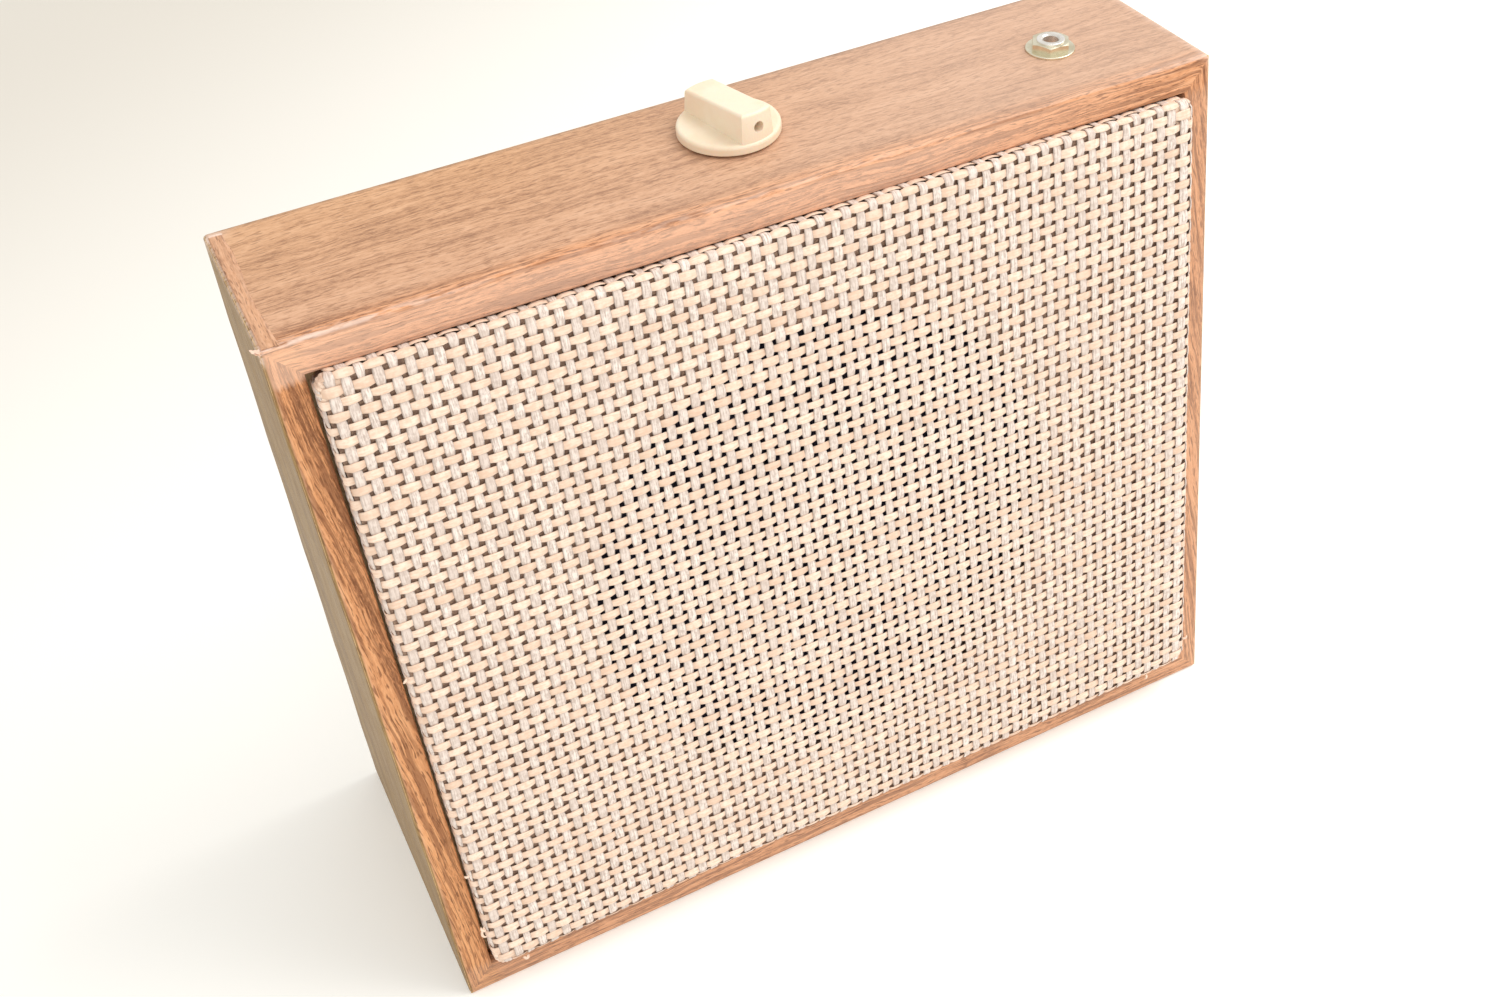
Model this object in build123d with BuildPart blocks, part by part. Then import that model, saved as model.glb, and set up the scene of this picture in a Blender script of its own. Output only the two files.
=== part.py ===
from build123d import *
from math import atan, cos, radians, sin, tan
import os

# A small sloping-front loudspeaker radio: a vinyl-covered plywood cabinet, a cloth-covered
# baffle with a five-inch loudspeaker, one volume knob and one earphone jack on top, and a
# transistor receiver inside behind a screwed rear cover.
# Frame: X to the viewer's right, Y to the back, Z up; the origin is the middle of the base.

# ---------------------------------------------------------------- driving dimensions (mm)
# cabinet
width = 216.0
height = 172.0
base_depth = 77.0
top_depth = 45.0
board = 6.4
vinyl = 0.3

# cloth-covered front panel
baffle = 6.4
cloth = 0.9
panel_proud = 4.0
panel_side_gap = 0.6
panel_top_gap = 0.2
panel_bottom_gap = 0.15
panel_corner = 3.0
cloth_turn = 14.0
batten_width = 10.0
batten_depth = 10.0

# loudspeaker
speaker_hole = 58.0
flange_land = 6.0
basket_depth = 24.0
cone_clearance = 4.0
coil_radius = 10.0
coil_gap = 0.3
magnet_radius = 30.0
magnet_height = 10.0
pole_plate = 4.0
plate_radius = 25.0

# top controls
knob_x = 0.9
knob_y = 19.6
knob_radius = 11.3
knob_lift = 0.5
knob_flange = 2.2
grip_width = 8.4
grip_height = 6.4
grip_fall = 1.7
knob_angle = 11.5
shaft_radius = 3.0
pot_radius = 8.0
pot_height = 9.0
switch_height = 6.0
pot_bushing_radius = 3.5
nut_recess_radius = 7.5
nut_recess = 2.6
pot_web = 2.5
jack_from_side = 28.4
jack_y = 14.6
jack_bore = 1.8
jack_bushing_radius = 3.2
jack_bushing_proud = 2.6
jack_nut_flats = 8.0
jack_nut_height = 1.7
jack_nut_turn = 56.0
jack_washer_thick = 0.5
jack_body_size = 9.0
jack_body_length = 13.0
jack_cavity = 2.6
jack_web = 3.0
jack_pocket = 8.5

# rear cover
cover = 3.0
cover_recess = 2.0
cover_gap = 0.4
block = 12.0
block_length = 16.0
vent_radius = 2.5
vent_pitch = 11.0

# receiver
pcb_width = 112.0
pcb_depth = 46.0
pcb = 1.6
pcb_y = 8.0
pcb_battery_gap = 8.35
pillar = 10.0
rod_radius = 4.0
rod_length = 130.0
rod_wall_gap = 8.3
rod_y = 25.0
rod_below_top = 31.3
battery_size = (48.5, 17.5, 26.5)
battery_y = 17.0
battery_wall_gap = 12.45
stud_offset = 6.35
preset_from_middle = 38.0
lead = 0.6

# fits
slip = 0.05
screw = 1.5

# ---------------------------------------------------------------- derived places
tilt = atan((base_depth - top_depth) / height)
wall = board + vinyl
half = width / 2
back = base_depth / 2
inside = half - wall
floor_z = wall
ceiling_z = height - wall
front = Plane(origin=(0, -back, 0), x_dir=(1, 0, 0), z_dir=(0, -cos(tilt), sin(tilt)))
panel_half = inside - vinyl - panel_side_gap
baffle_back = baffle - (panel_proud - cloth)
batten_front = baffle_back + cloth
panel_low = (wall + vinyl + batten_front * sin(tilt)) / cos(tilt) + panel_bottom_gap
panel_high = (height - wall - vinyl) / cos(tilt) - panel_top_gap
panel_middle = (panel_low + panel_high) / 2
panel_height = panel_high - panel_low
flange_radius = speaker_hole + flange_land
speaker_screw_circle = speaker_hole + flange_land / 2 + 0.2
cone_radius = speaker_hole - cone_clearance
turn_in = min(cloth_turn, panel_height / 2 - cloth - flange_radius - 0.5)
cover_y = back - cover_recess - cover
pcb_z = floor_z + pillar
pcb_top = pcb_z + pcb
pot_z = height - nut_recess - pot_web
jack_z = height - jack_web
jack_x = half - jack_from_side
battery_x = inside - battery_wall_gap - battery_size[0] / 2
pcb_x = battery_x - battery_size[0] / 2 - pcb_battery_gap - pcb_width / 2
preset_x = pcb_x - preset_from_middle
rod_x = -inside + rod_wall_gap + rod_length / 2
rod_z = ceiling_z - rod_below_top


def front_y(z, inset=0.0):
    """Y of the sloping front plane at height z, moved in by inset along its normal."""
    return -back + z * tan(tilt) + inset / cos(tilt)


def save(builder, name):
    """Labels a finished piece and writes its STEP file."""
    builder.part.label = name
    export_step(builder.part, f"parts/{name}.step")


def wedge(low, high, inset, rear, x_from, x_to, mode=Mode.ADD):
    """A prism across the cabinet whose front face is parallel to the sloping front."""
    with BuildSketch(Plane.YZ.offset(x_from)) as section:
        Polygon(
            (front_y(low, inset), low),
            (rear, low),
            (rear, high),
            (front_y(high, inset), high),
            align=None,
        )
    extrude(section.sketch, amount=x_to - x_from, mode=mode)


def slab(depth, thick, x_half, low, high, corner=0.0, mode=Mode.ADD):
    """A plate parallel to the front, from depth behind the rim plane inwards by thick."""
    with BuildSketch(front.offset(-depth)) as section:
        with Locations((0, (low + high) / 2)):
            if corner > 0:
                RectangleRounded(2 * x_half, high - low, corner)
            else:
                Rectangle(2 * x_half, high - low)
    extrude(section.sketch, amount=-thick, mode=mode)


os.makedirs("parts", exist_ok=True)

# ---------------------------------------------------------------- cabinet
with BuildPart() as left_side_board:
    wedge(vinyl, height - vinyl, vinyl, back, -half + vinyl, -inside)
save(left_side_board, "left_side_board")

with BuildPart() as right_side_board:
    wedge(vinyl, height - vinyl, vinyl, back, inside, half - vinyl)
save(right_side_board, "right_side_board")

with BuildPart() as bottom_board:
    wedge(vinyl, floor_z, vinyl, back, -inside, inside)
    with GridLocations(pcb_width - 10, pcb_depth - 8, 2, 2):
        with Locations((pcb_x, pcb_y, floor_z - 4)):
            Cylinder(1.2, 8, mode=Mode.SUBTRACT)
save(bottom_board, "bottom_board")

with BuildPart() as top_board:
    wedge(ceiling_z, height - vinyl, vinyl, back, -inside, inside)
    with Locations((knob_x, knob_y, ceiling_z)):
        Cylinder(pot_radius + 0.6, pot_z - ceiling_z,
                 align=(Align.CENTER, Align.CENTER, Align.MIN), mode=Mode.SUBTRACT)
    with Locations((knob_x, knob_y, pot_z)):
        Cylinder(pot_bushing_radius + slip, height - pot_z,
                 align=(Align.CENTER, Align.CENTER, Align.MIN), mode=Mode.SUBTRACT)
    with Locations((knob_x, knob_y, height - nut_recess)):
        Cylinder(nut_recess_radius, nut_recess,
                 align=(Align.CENTER, Align.CENTER, Align.MIN), mode=Mode.SUBTRACT)
    with Locations((jack_x, jack_y, ceiling_z)):
        Cylinder(jack_pocket, jack_z - ceiling_z,
                 align=(Align.CENTER, Align.CENTER, Align.MIN), mode=Mode.SUBTRACT)
    with Locations((jack_x, jack_y, jack_z)):
        Cylinder(jack_bushing_radius + slip, height - jack_z,
                 align=(Align.CENTER, Align.CENTER, Align.MIN), mode=Mode.SUBTRACT)
save(top_board, "top_board")

# the vinyl runs over the top, both sides and the front rim and turns in round the opening
with BuildPart() as vinyl_wrap:
    wedge(vinyl, height, 0, back, -half, half)
    wedge(vinyl, height - vinyl, vinyl, back, -half + vinyl, half - vinyl, Mode.SUBTRACT)
    with BuildSketch(Plane.YZ.offset(-inside)) as lip_section:
        Polygon(
            (front_y(floor_z, vinyl), floor_z),
            (front_y(floor_z, batten_front), floor_z),
            (front_y(ceiling_z, batten_front), ceiling_z),
            (front_y(ceiling_z, vinyl), ceiling_z),
            align=None,
        )
    extrude(lip_section.sketch, amount=2 * inside, mode=Mode.ADD)
    with BuildSketch(Plane.YZ.offset(-inside + vinyl)) as opening_section:
        Polygon(
            (front_y(floor_z + vinyl, -panel_proud), floor_z + vinyl),
            (front_y(floor_z + vinyl, 2 * batten_front), floor_z + vinyl),
            (front_y(ceiling_z - vinyl, 2 * batten_front), ceiling_z - vinyl),
            (front_y(ceiling_z - vinyl, -panel_proud), ceiling_z - vinyl),
            align=None,
        )
    extrude(opening_section.sketch, amount=2 * (inside - vinyl), mode=Mode.SUBTRACT)
    with Locations((knob_x, knob_y, height)):
        Cylinder(nut_recess_radius, 4, mode=Mode.SUBTRACT)
    with Locations((jack_x, jack_y, height)):
        Cylinder(jack_bushing_radius + slip, 4, mode=Mode.SUBTRACT)
save(vinyl_wrap, "vinyl_wrap")

with BuildPart() as vinyl_base:
    wedge(0, vinyl, 0, back, -half, half)
save(vinyl_base, "vinyl_base")

# ---------------------------------------------------------------- front panel and its frame
batten_inner = inside - batten_width
frame_low = panel_low + batten_width
frame_high = panel_high - batten_width
screw_spots = [(side * (inside - batten_width / 2), panel_middle + step * panel_height / 3)
               for side in (-1, 1) for step in (-1, 0, 1)]
screw_spots += [(x, s) for x in (-inside / 2, inside / 2)
                for s in (panel_low + batten_width / 2, panel_high - batten_width / 2)]

with BuildPart() as baffle_screws:
    with BuildSketch(front.offset(-batten_front - batten_depth)) as shanks:
        with Locations(*screw_spots):
            Circle(screw)
    extrude(shanks.sketch, amount=batten_depth + cloth + baffle * 0.6)
    with BuildSketch(front.offset(-batten_front - batten_depth)) as heads:
        with Locations(*screw_spots):
            Circle(2 * screw)
    extrude(heads.sketch, amount=-1.4)
save(baffle_screws, "baffle_screws")

with BuildPart() as baffle_battens:
    slab(batten_front, batten_depth, inside, frame_high, panel_high + 12)
    slab(batten_front, batten_depth, inside, panel_low - 12, frame_low)
    for side in (-1, 1):
        with BuildSketch(front.offset(-batten_front)) as upright:
            with Locations((side * (inside - batten_width / 2), panel_middle)):
                Rectangle(batten_width, frame_high - frame_low - 2 * slip)
        extrude(upright.sketch, amount=-batten_depth)
    wedge(floor_z, ceiling_z, 0, back, -inside, inside, Mode.INTERSECT)
    add(baffle_screws.part, mode=Mode.SUBTRACT)
save(baffle_battens, "baffle_battens")

staple_edge = 3.0
staple_line = panel_half - cloth - turn_in + staple_edge
with BuildPart() as cloth_staples:
    staple_spots = [(side * staple_line, panel_middle + step * panel_height / 5, 90)
                    for side in (-1, 1) for step in (-2, -1, 0, 1, 2)]
    staple_spots += [(step * panel_half / 3, s, 0) for step in (-2, 0, 2)
                     for s in (panel_low + cloth + turn_in - staple_edge,
                               panel_high - cloth - turn_in + staple_edge)]
    for x, s, turn in staple_spots:
        with BuildSketch(front.offset(-batten_front)) as crown:
            with Locations(Location((x, s, 0), (0, 0, turn))):
                Rectangle(8, 0.6)
        extrude(crown.sketch, amount=-0.5)
        with BuildSketch(front.offset(-batten_front)) as legs:
            with Locations(Location((x, s, 0), (0, 0, turn))):
                with GridLocations(7.4, 0, 2, 1):
                    Rectangle(0.6, 0.6)
        extrude(legs.sketch, amount=5)
save(cloth_staples, "cloth_staples")

speaker_origin = front.offset(-baffle_back).from_local_coords((0, panel_middle, 0))
axial = Plane(origin=speaker_origin, x_dir=(1, 0, 0), z_dir=(0, cos(tilt), -sin(tilt)))
radial = Plane(origin=speaker_origin, x_dir=(1, 0, 0), z_dir=(0, sin(tilt), cos(tilt)))
speaker_axis = Axis(speaker_origin, axial.z_dir)


def disc(start, end, outer, inner=0.0, mode=Mode.ADD):
    """A washer on the loudspeaker's axis; depths count back from the baffle's rear face."""
    with BuildSketch(axial.offset(start)) as section:
        Circle(outer)
        if inner > 0:
            Circle(inner, mode=Mode.SUBTRACT)
    extrude(section.sketch, amount=end - start, mode=mode)


def turned(points, mode=Mode.ADD):
    """A solid of revolution on the loudspeaker's axis, from (radius, depth) points."""
    with BuildSketch(radial) as section:
        Polygon(*points, align=None)
    revolve(section.sketch, axis=speaker_axis, mode=mode)


with BuildPart() as speaker_screws:
    with BuildSketch(axial.offset(2.2)) as shanks:
        with PolarLocations(speaker_screw_circle, 4, start_angle=45):
            Circle(screw)
    extrude(shanks.sketch, amount=-2.2 - baffle * 0.7)
    with BuildSketch(axial.offset(2.2)) as heads:
        with PolarLocations(speaker_screw_circle, 4, start_angle=45):
            Circle(1.8 * screw)
    extrude(heads.sketch, amount=1.6)
save(speaker_screws, "speaker_screws")

board_half = panel_half - cloth
board_low = panel_low + cloth
board_high = panel_high - cloth
with BuildPart() as baffle_board:
    slab(baffle_back - baffle, baffle, board_half, board_low, board_high, panel_corner - cloth)
    disc(-baffle, 0, speaker_hole, mode=Mode.SUBTRACT)
    add(baffle_screws.part, mode=Mode.SUBTRACT)
    add(cloth_staples.part, mode=Mode.SUBTRACT)
    add(speaker_screws.part, mode=Mode.SUBTRACT)
save(baffle_board, "baffle_board")

with BuildPart() as grille_cloth:
    slab(-panel_proud, panel_proud + batten_front, panel_half, panel_low, panel_high,
         panel_corner)
    slab(baffle_back - baffle, baffle, board_half, board_low, board_high,
         panel_corner - cloth, Mode.SUBTRACT)
    slab(baffle_back, 2 * cloth, board_half - turn_in, board_low + turn_in,
         board_high - turn_in, panel_corner - cloth, Mode.SUBTRACT)
    add(baffle_screws.part, mode=Mode.SUBTRACT)
    add(cloth_staples.part, mode=Mode.SUBTRACT)
save(grille_cloth, "grille_cloth")

# ---------------------------------------------------------------- loudspeaker
gasket = 1.0
sheet = 1.2
shelf_depth = basket_depth - 2.8
shelf_outer = 33.0
shelf_inner = 27.0
with BuildPart() as speaker_gasket:
    disc(0, gasket, flange_radius, speaker_hole + 1)
    add(speaker_screws.part, mode=Mode.SUBTRACT)
save(speaker_gasket, "speaker_gasket")

with BuildPart() as speaker_basket:
    turned([
        (speaker_hole - 1, gasket),
        (flange_radius, gasket),
        (flange_radius, gasket + sheet),
        (speaker_hole, gasket + sheet),
        (shelf_outer + 1, shelf_depth + sheet),
        (shelf_inner + sheet, shelf_depth + sheet),
        (shelf_inner + sheet, basket_depth),
        (coil_radius + 2, basket_depth),
        (coil_radius + 2, basket_depth - sheet),
        (shelf_inner, basket_depth - sheet),
        (shelf_inner, shelf_depth),
        (shelf_outer, shelf_depth),
    ])
    with BuildSketch(axial) as windows:
        with PolarLocations(45, 6, start_angle=30):
            SlotOverall(30, 13, rotation=90)
    extrude(windows.sketch, amount=basket_depth, mode=Mode.SUBTRACT)
    add(speaker_screws.part, mode=Mode.SUBTRACT)
save(speaker_basket, "speaker_basket")

paper = 0.6
cone_lip = 3.0
neck_depth = 19.0
with BuildPart() as speaker_cone:
    turned([
        (cone_radius, gasket),
        (cone_radius, gasket + paper),
        (cone_radius - cone_lip, gasket + paper),
        (coil_radius + 0.5, neck_depth + paper),
        (coil_radius + 0.5, neck_depth - paper),
        (cone_radius - cone_lip, gasket),
    ])
save(speaker_cone, "speaker_cone")

with BuildPart() as cone_surround:
    disc(gasket - 0.5, gasket, speaker_hole + 0.8, cone_radius - cone_lip)
save(cone_surround, "cone_surround")

cap_radius = 16.0
cone_run = cone_radius - cone_lip - coil_radius - 0.5
cap_depth = gasket + (cone_radius - cone_lip - cap_radius) / cone_run * (neck_depth - paper - gasket)
cap_height = 5.5
cap_sheet = 0.5
dome_radius = (cap_radius ** 2 + cap_height ** 2) / (2 * cap_height)
with BuildPart() as dust_cap:
    with BuildSketch(radial) as dome:
        with Locations((0, cap_depth - cap_height + dome_radius)):
            Circle(dome_radius)
            Circle(dome_radius - cap_sheet, mode=Mode.SUBTRACT)
        with Locations((0, cap_depth - cap_height - 1)):
            Rectangle(cap_radius - 0.6, cap_height + 0.2, align=(Align.MIN, Align.MIN),
                      mode=Mode.INTERSECT)
    revolve(dome.sketch, axis=speaker_axis)
save(dust_cap, "dust_cap")

coil_end = basket_depth + pole_plate + 3
with BuildPart() as voice_coil:
    disc(neck_depth - 2, coil_end, coil_radius, coil_radius - 0.4)
    disc(neck_depth - 1.5, neck_depth, coil_radius + 0.5, coil_radius)
    disc(basket_depth - 2.5, coil_end - 0.5, coil_radius + 0.4, coil_radius)
save(voice_coil, "voice_coil")

with BuildPart() as spider:
    disc(shelf_depth - 0.6, shelf_depth, shelf_outer - 1, coil_radius)
save(spider, "spider")

with BuildPart() as magnet_top_plate:
    disc(basket_depth, basket_depth + pole_plate, plate_radius, coil_radius + 0.4 + coil_gap)
save(magnet_top_plate, "magnet_top_plate")

magnet_end = basket_depth + pole_plate + magnet_height
with BuildPart() as speaker_magnet:
    disc(basket_depth + pole_plate, magnet_end, magnet_radius, coil_radius + 4)
    chamfer(edges().filter_by(GeomType.CIRCLE).group_by(SortBy.RADIUS)[-1], 0.6)
save(speaker_magnet, "speaker_magnet")

with BuildPart() as magnet_yoke:
    disc(magnet_end, magnet_end + pole_plate, plate_radius)
    disc(basket_depth - 0.5, magnet_end, coil_radius - 0.4 - coil_gap)
    chamfer(edges().filter_by(GeomType.CIRCLE).group_by(SortBy.RADIUS)[-1], 0.6)
save(magnet_yoke, "magnet_yoke")

tag_radius = 40.0
tag_depth = gasket + sheet + (speaker_hole - tag_radius) / (speaker_hole - shelf_outer - 1) * (
    shelf_depth - gasket)
tag_plane = Plane(origin=axial.from_local_coords((0, tag_radius, tag_depth + 1.5)),
                  x_dir=(1, 0, 0), z_dir=axial.z_dir)
with BuildPart() as speaker_tag_strip:
    with BuildSketch(tag_plane) as strip:
        Rectangle(18, 7)
    extrude(strip.sketch, amount=1.6)
    with BuildSketch(tag_plane) as foot:
        with Locations((0, -1.5)):
            Rectangle(5, 4)
    extrude(foot.sketch, amount=-2.6)
    with BuildSketch(tag_plane.offset(1.6)) as tags:
        with GridLocations(11, 0, 2, 1):
            Rectangle(3, 5)
    extrude(tags.sketch, amount=0.5)
    add(speaker_basket.part, mode=Mode.SUBTRACT)
save(speaker_tag_strip, "speaker_tag_strip")

# ---------------------------------------------------------------- volume control and knob
up = (Align.CENTER, Align.CENTER, Align.MIN)
down = (Align.CENTER, Align.CENTER, Align.MAX)
shaft_low = pot_z - pot_height + 2
knob_top = height + knob_lift + knob_flange + grip_height
with BuildPart() as volume_control_body:
    with Locations((knob_x, knob_y, pot_z)):
        Cylinder(pot_radius, pot_height, align=down)
    with Locations((knob_x, knob_y, pot_z - pot_height / 2)):
        for step in (-1, 0, 1):
            with Locations((step * 4, -pot_radius - 0.7, 0)):
                Box(1.6, 3, 0.6)
    with Locations((knob_x, knob_y, pot_z)):
        Cylinder(shaft_radius + slip, pot_z - shaft_low + slip, align=down, mode=Mode.SUBTRACT)
save(volume_control_body, "volume_control_body")

nut_low = height - nut_recess
with BuildPart() as volume_bushing:
    with Locations((knob_x, knob_y, pot_z)):
        Cylinder(pot_bushing_radius, height + 0.2 - pot_z, align=up)
        Cylinder(shaft_radius + slip, 20, mode=Mode.SUBTRACT)
save(volume_bushing, "volume_bushing")

with BuildPart() as volume_washer:
    with Locations((knob_x, knob_y, nut_low)):
        Cylinder(6.5, 0.5, align=up)
        Cylinder(pot_bushing_radius, 4, mode=Mode.SUBTRACT)
save(volume_washer, "volume_washer")

with BuildPart() as volume_nut:
    with BuildSketch(Plane.XY.offset(nut_low + 0.5)) as hexagon:
        with Locations((knob_x, knob_y)):
            RegularPolygon(5.0, 6, major_radius=False)
            Circle(pot_bushing_radius, mode=Mode.SUBTRACT)
    extrude(hexagon.sketch, amount=1.8)
save(volume_nut, "volume_nut")

with BuildPart() as power_switch:
    with Locations((knob_x, knob_y, pot_z - pot_height)):
        Cylinder(pot_radius - 0.4, switch_height, align=down)
    with Locations((knob_x, knob_y, pot_z - pot_height - switch_height)):
        for step in (-1, 1):
            with Locations((step * 4, 0, 0)):
                Box(1.6, 0.6, 5, align=down)
save(power_switch, "power_switch")

knob_plane = Plane(origin=(knob_x, knob_y, height),
                   x_dir=(sin(radians(knob_angle)), -cos(radians(knob_angle)), 0),
                   z_dir=(0, 0, 1))
shaft_top = height + knob_lift + knob_flange + grip_height - grip_fall - 1.8
grub_z = knob_lift + knob_flange + 2.9
grub_radius = 1.2
with BuildPart() as volume_shaft:
    with Locations((knob_x, knob_y, shaft_low)):
        Cylinder(shaft_radius, shaft_top - shaft_low, align=up)
    chamfer(edges().sort_by(Axis.Z)[-1], 0.4)
save(volume_shaft, "volume_shaft")

grip_radius = knob_radius - 0.35
with BuildPart() as volume_knob:
    with BuildSketch(knob_plane.offset(knob_lift)) as flange:
        Circle(knob_radius)
    extrude(flange.sketch, amount=knob_flange)
    fillet(edges().group_by(Axis.Z)[-1], 0.9)
    fillet(edges().group_by(Axis.Z)[0], 0.3)
    with BuildSketch(knob_plane.offset(knob_lift + knob_flange - 0.9)) as grip:
        Rectangle(2 * grip_radius, grip_width)
        Circle(grip_radius, mode=Mode.INTERSECT)
    extrude(grip.sketch, amount=grip_height + 0.9, taper=4)
    slope_plane = Plane(origin=knob_plane.origin, x_dir=knob_plane.x_dir,
                        z_dir=-knob_plane.y_dir)
    with BuildSketch(slope_plane.offset(-knob_radius)) as top_slope:
        top = knob_lift + knob_flange + grip_height
        Polygon((knob_radius, top), (knob_radius, top + 4), (-knob_radius, top + 4),
                (-knob_radius, top - grip_fall), align=None)
    extrude(top_slope.sketch, amount=2 * knob_radius, mode=Mode.SUBTRACT)
    fillet(faces().sort_by(Axis.Z)[-1].edges(), 0.7)
    with Locations(knob_plane.offset(knob_lift)):
        Cylinder(nut_recess_radius, 0.8, align=up, mode=Mode.SUBTRACT)
    with Locations((knob_x, knob_y, height)):
        Cylinder(shaft_radius, shaft_top - height + 0.2, align=up, mode=Mode.SUBTRACT)
    with BuildSketch(Plane(origin=knob_plane.from_local_coords((0, 0, grub_z)),
                           x_dir=knob_plane.y_dir, z_dir=knob_plane.x_dir)) as grub_hole:
        Circle(grub_radius)
    extrude(grub_hole.sketch, amount=knob_radius + 2, mode=Mode.SUBTRACT)
save(volume_knob, "volume_knob")

with BuildPart() as knob_grub_screw:
    with BuildSketch(Plane(origin=knob_plane.from_local_coords((shaft_radius, 0, grub_z)),
                           x_dir=knob_plane.y_dir, z_dir=knob_plane.x_dir)) as grub:
        Circle(grub_radius)
    extrude(grub.sketch, amount=4.5)
    with BuildSketch(Plane(origin=knob_plane.from_local_coords((shaft_radius + 4, 0, grub_z)),
                           x_dir=knob_plane.y_dir, z_dir=knob_plane.x_dir)) as slot:
        Rectangle(2.4, 0.5)
    extrude(slot.sketch, amount=1, mode=Mode.SUBTRACT)
    with Locations((knob_x, knob_y, height)):
        Cylinder(shaft_radius, 20, align=up, mode=Mode.SUBTRACT)
save(knob_grub_screw, "knob_grub_screw")

# ---------------------------------------------------------------- earphone jack
with BuildPart() as jack_body:
    with Locations((jack_x, jack_y, jack_z)):
        Box(jack_body_size, jack_body_size, jack_body_length, align=down)
        Cylinder(jack_cavity, jack_body_length - 2, align=down, mode=Mode.SUBTRACT)
    with Locations((jack_x + jack_bore + 0.1, jack_y, jack_z - jack_body_length)):
        Box(3.4, 3.2, 9, align=(Align.MIN, Align.CENTER, Align.MIN), mode=Mode.SUBTRACT)
save(jack_body, "jack_body")

jack_washer_radius = 5.6
with BuildPart() as jack_bushing:
    with Locations((jack_x, jack_y, jack_z)):
        Cylinder(jack_bushing_radius, jack_web + jack_bushing_proud, align=up)
        Cylinder(jack_bore, 20, mode=Mode.SUBTRACT)
    fillet(edges().group_by(Axis.Z)[-1].sort_by(SortBy.RADIUS)[-1], 0.25)
    chamfer(edges().group_by(Axis.Z)[-1].sort_by(SortBy.RADIUS)[0], 0.35)
save(jack_bushing, "jack_bushing")

with BuildPart() as jack_washer:
    with Locations((jack_x, jack_y, height)):
        Cylinder(jack_washer_radius, jack_washer_thick, align=up)
        Cylinder(jack_bushing_radius, 4, mode=Mode.SUBTRACT)
    fillet(edges().group_by(Axis.Z)[-1].sort_by(SortBy.RADIUS)[-1], 0.2)
save(jack_washer, "jack_washer")

nut_top = jack_washer_thick + jack_nut_height
with BuildPart() as jack_nut:
    with BuildSketch(Plane.XY.offset(height + jack_washer_thick)) as hexagon:
        with Locations(Location((jack_x, jack_y, 0), (0, 0, jack_nut_turn))):
            RegularPolygon(jack_nut_flats / 2, 6, major_radius=False)
    extrude(hexagon.sketch, amount=jack_nut_height)
    with BuildSketch(Plane.XZ.offset(-jack_y)) as crown:
        corner = jack_nut_flats / 2 / cos(radians(30))
        with Locations((jack_x, height)):
            Polygon((0, 0), (corner, 0), (corner, nut_top - 0.25), (jack_nut_flats / 2, nut_top),
                    (0, nut_top), align=None)
    revolve(crown.sketch, axis=Axis((jack_x, jack_y, 0), (0, 0, 1)), mode=Mode.INTERSECT)
    with Locations((jack_x, jack_y, height)):
        Cylinder(jack_bushing_radius, 8, mode=Mode.SUBTRACT)
save(jack_nut, "jack_nut")

spring_x = jack_x + jack_bore + 0.25
spring_low = jack_z - jack_body_length
with BuildPart() as jack_tip_spring:
    with BuildSketch(Plane.XZ.offset(-jack_y - 1)) as leaf:
        with BuildLine():
            Polyline((spring_x + 1.2, spring_low - 4), (spring_x + 1.2, spring_low + 2),
                     (spring_x, spring_low + 5), (spring_x + 0.9, spring_low + 8),
                     (spring_x + 1.2, spring_low + 8), (spring_x + 0.3, spring_low + 5),
                     (spring_x + 1.5, spring_low + 2), (spring_x + 1.5, spring_low - 4),
                     close=True)
        make_face()
    extrude(leaf.sketch, amount=2)
save(jack_tip_spring, "jack_tip_spring")

with BuildPart() as jack_switch_contact:
    with Locations((jack_x - jack_body_size / 2, jack_y, spring_low - 4)):
        Box(0.3, 2, 9, align=(Align.MAX, Align.CENTER, Align.MIN))
save(jack_switch_contact, "jack_switch_contact")

# ---------------------------------------------------------------- rear cover
block_spots = [(x, z) for x in (-inside + block / 2, inside - block / 2)
               for z in (floor_z + block / 2, ceiling_z - block / 2)]
with BuildPart() as corner_blocks:
    for x, z in block_spots:
        with Locations((x, cover_y, z)):
            Box(block, block_length, block, align=(Align.CENTER, Align.MAX, Align.CENTER))
    with BuildSketch(Plane.XZ.offset(-cover_y)) as pilots:
        with Locations(*block_spots):
            Circle(screw + slip)
    extrude(pilots.sketch, amount=10, mode=Mode.SUBTRACT)
save(corner_blocks, "corner_blocks")

cover_middle = (floor_z + ceiling_z) / 2
with BuildPart() as cover_screws:
    with BuildSketch(Plane.XZ.offset(-cover_y - cover)) as shanks:
        with Locations(*block_spots):
            Circle(screw)
    extrude(shanks.sketch, amount=cover + 9)
    with BuildSketch(Plane.XZ.offset(-cover_y - cover)) as heads:
        with Locations(*block_spots):
            Circle(3)
    extrude(heads.sketch, amount=-1.7, taper=12)
    with BuildSketch(Plane.XZ.offset(-cover_y - cover - 1.7)) as slots:
        with Locations(*block_spots):
            Rectangle(7, 0.8, rotation=25)
    extrude(slots.sketch, amount=0.9, mode=Mode.SUBTRACT)
save(cover_screws, "cover_screws")

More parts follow.
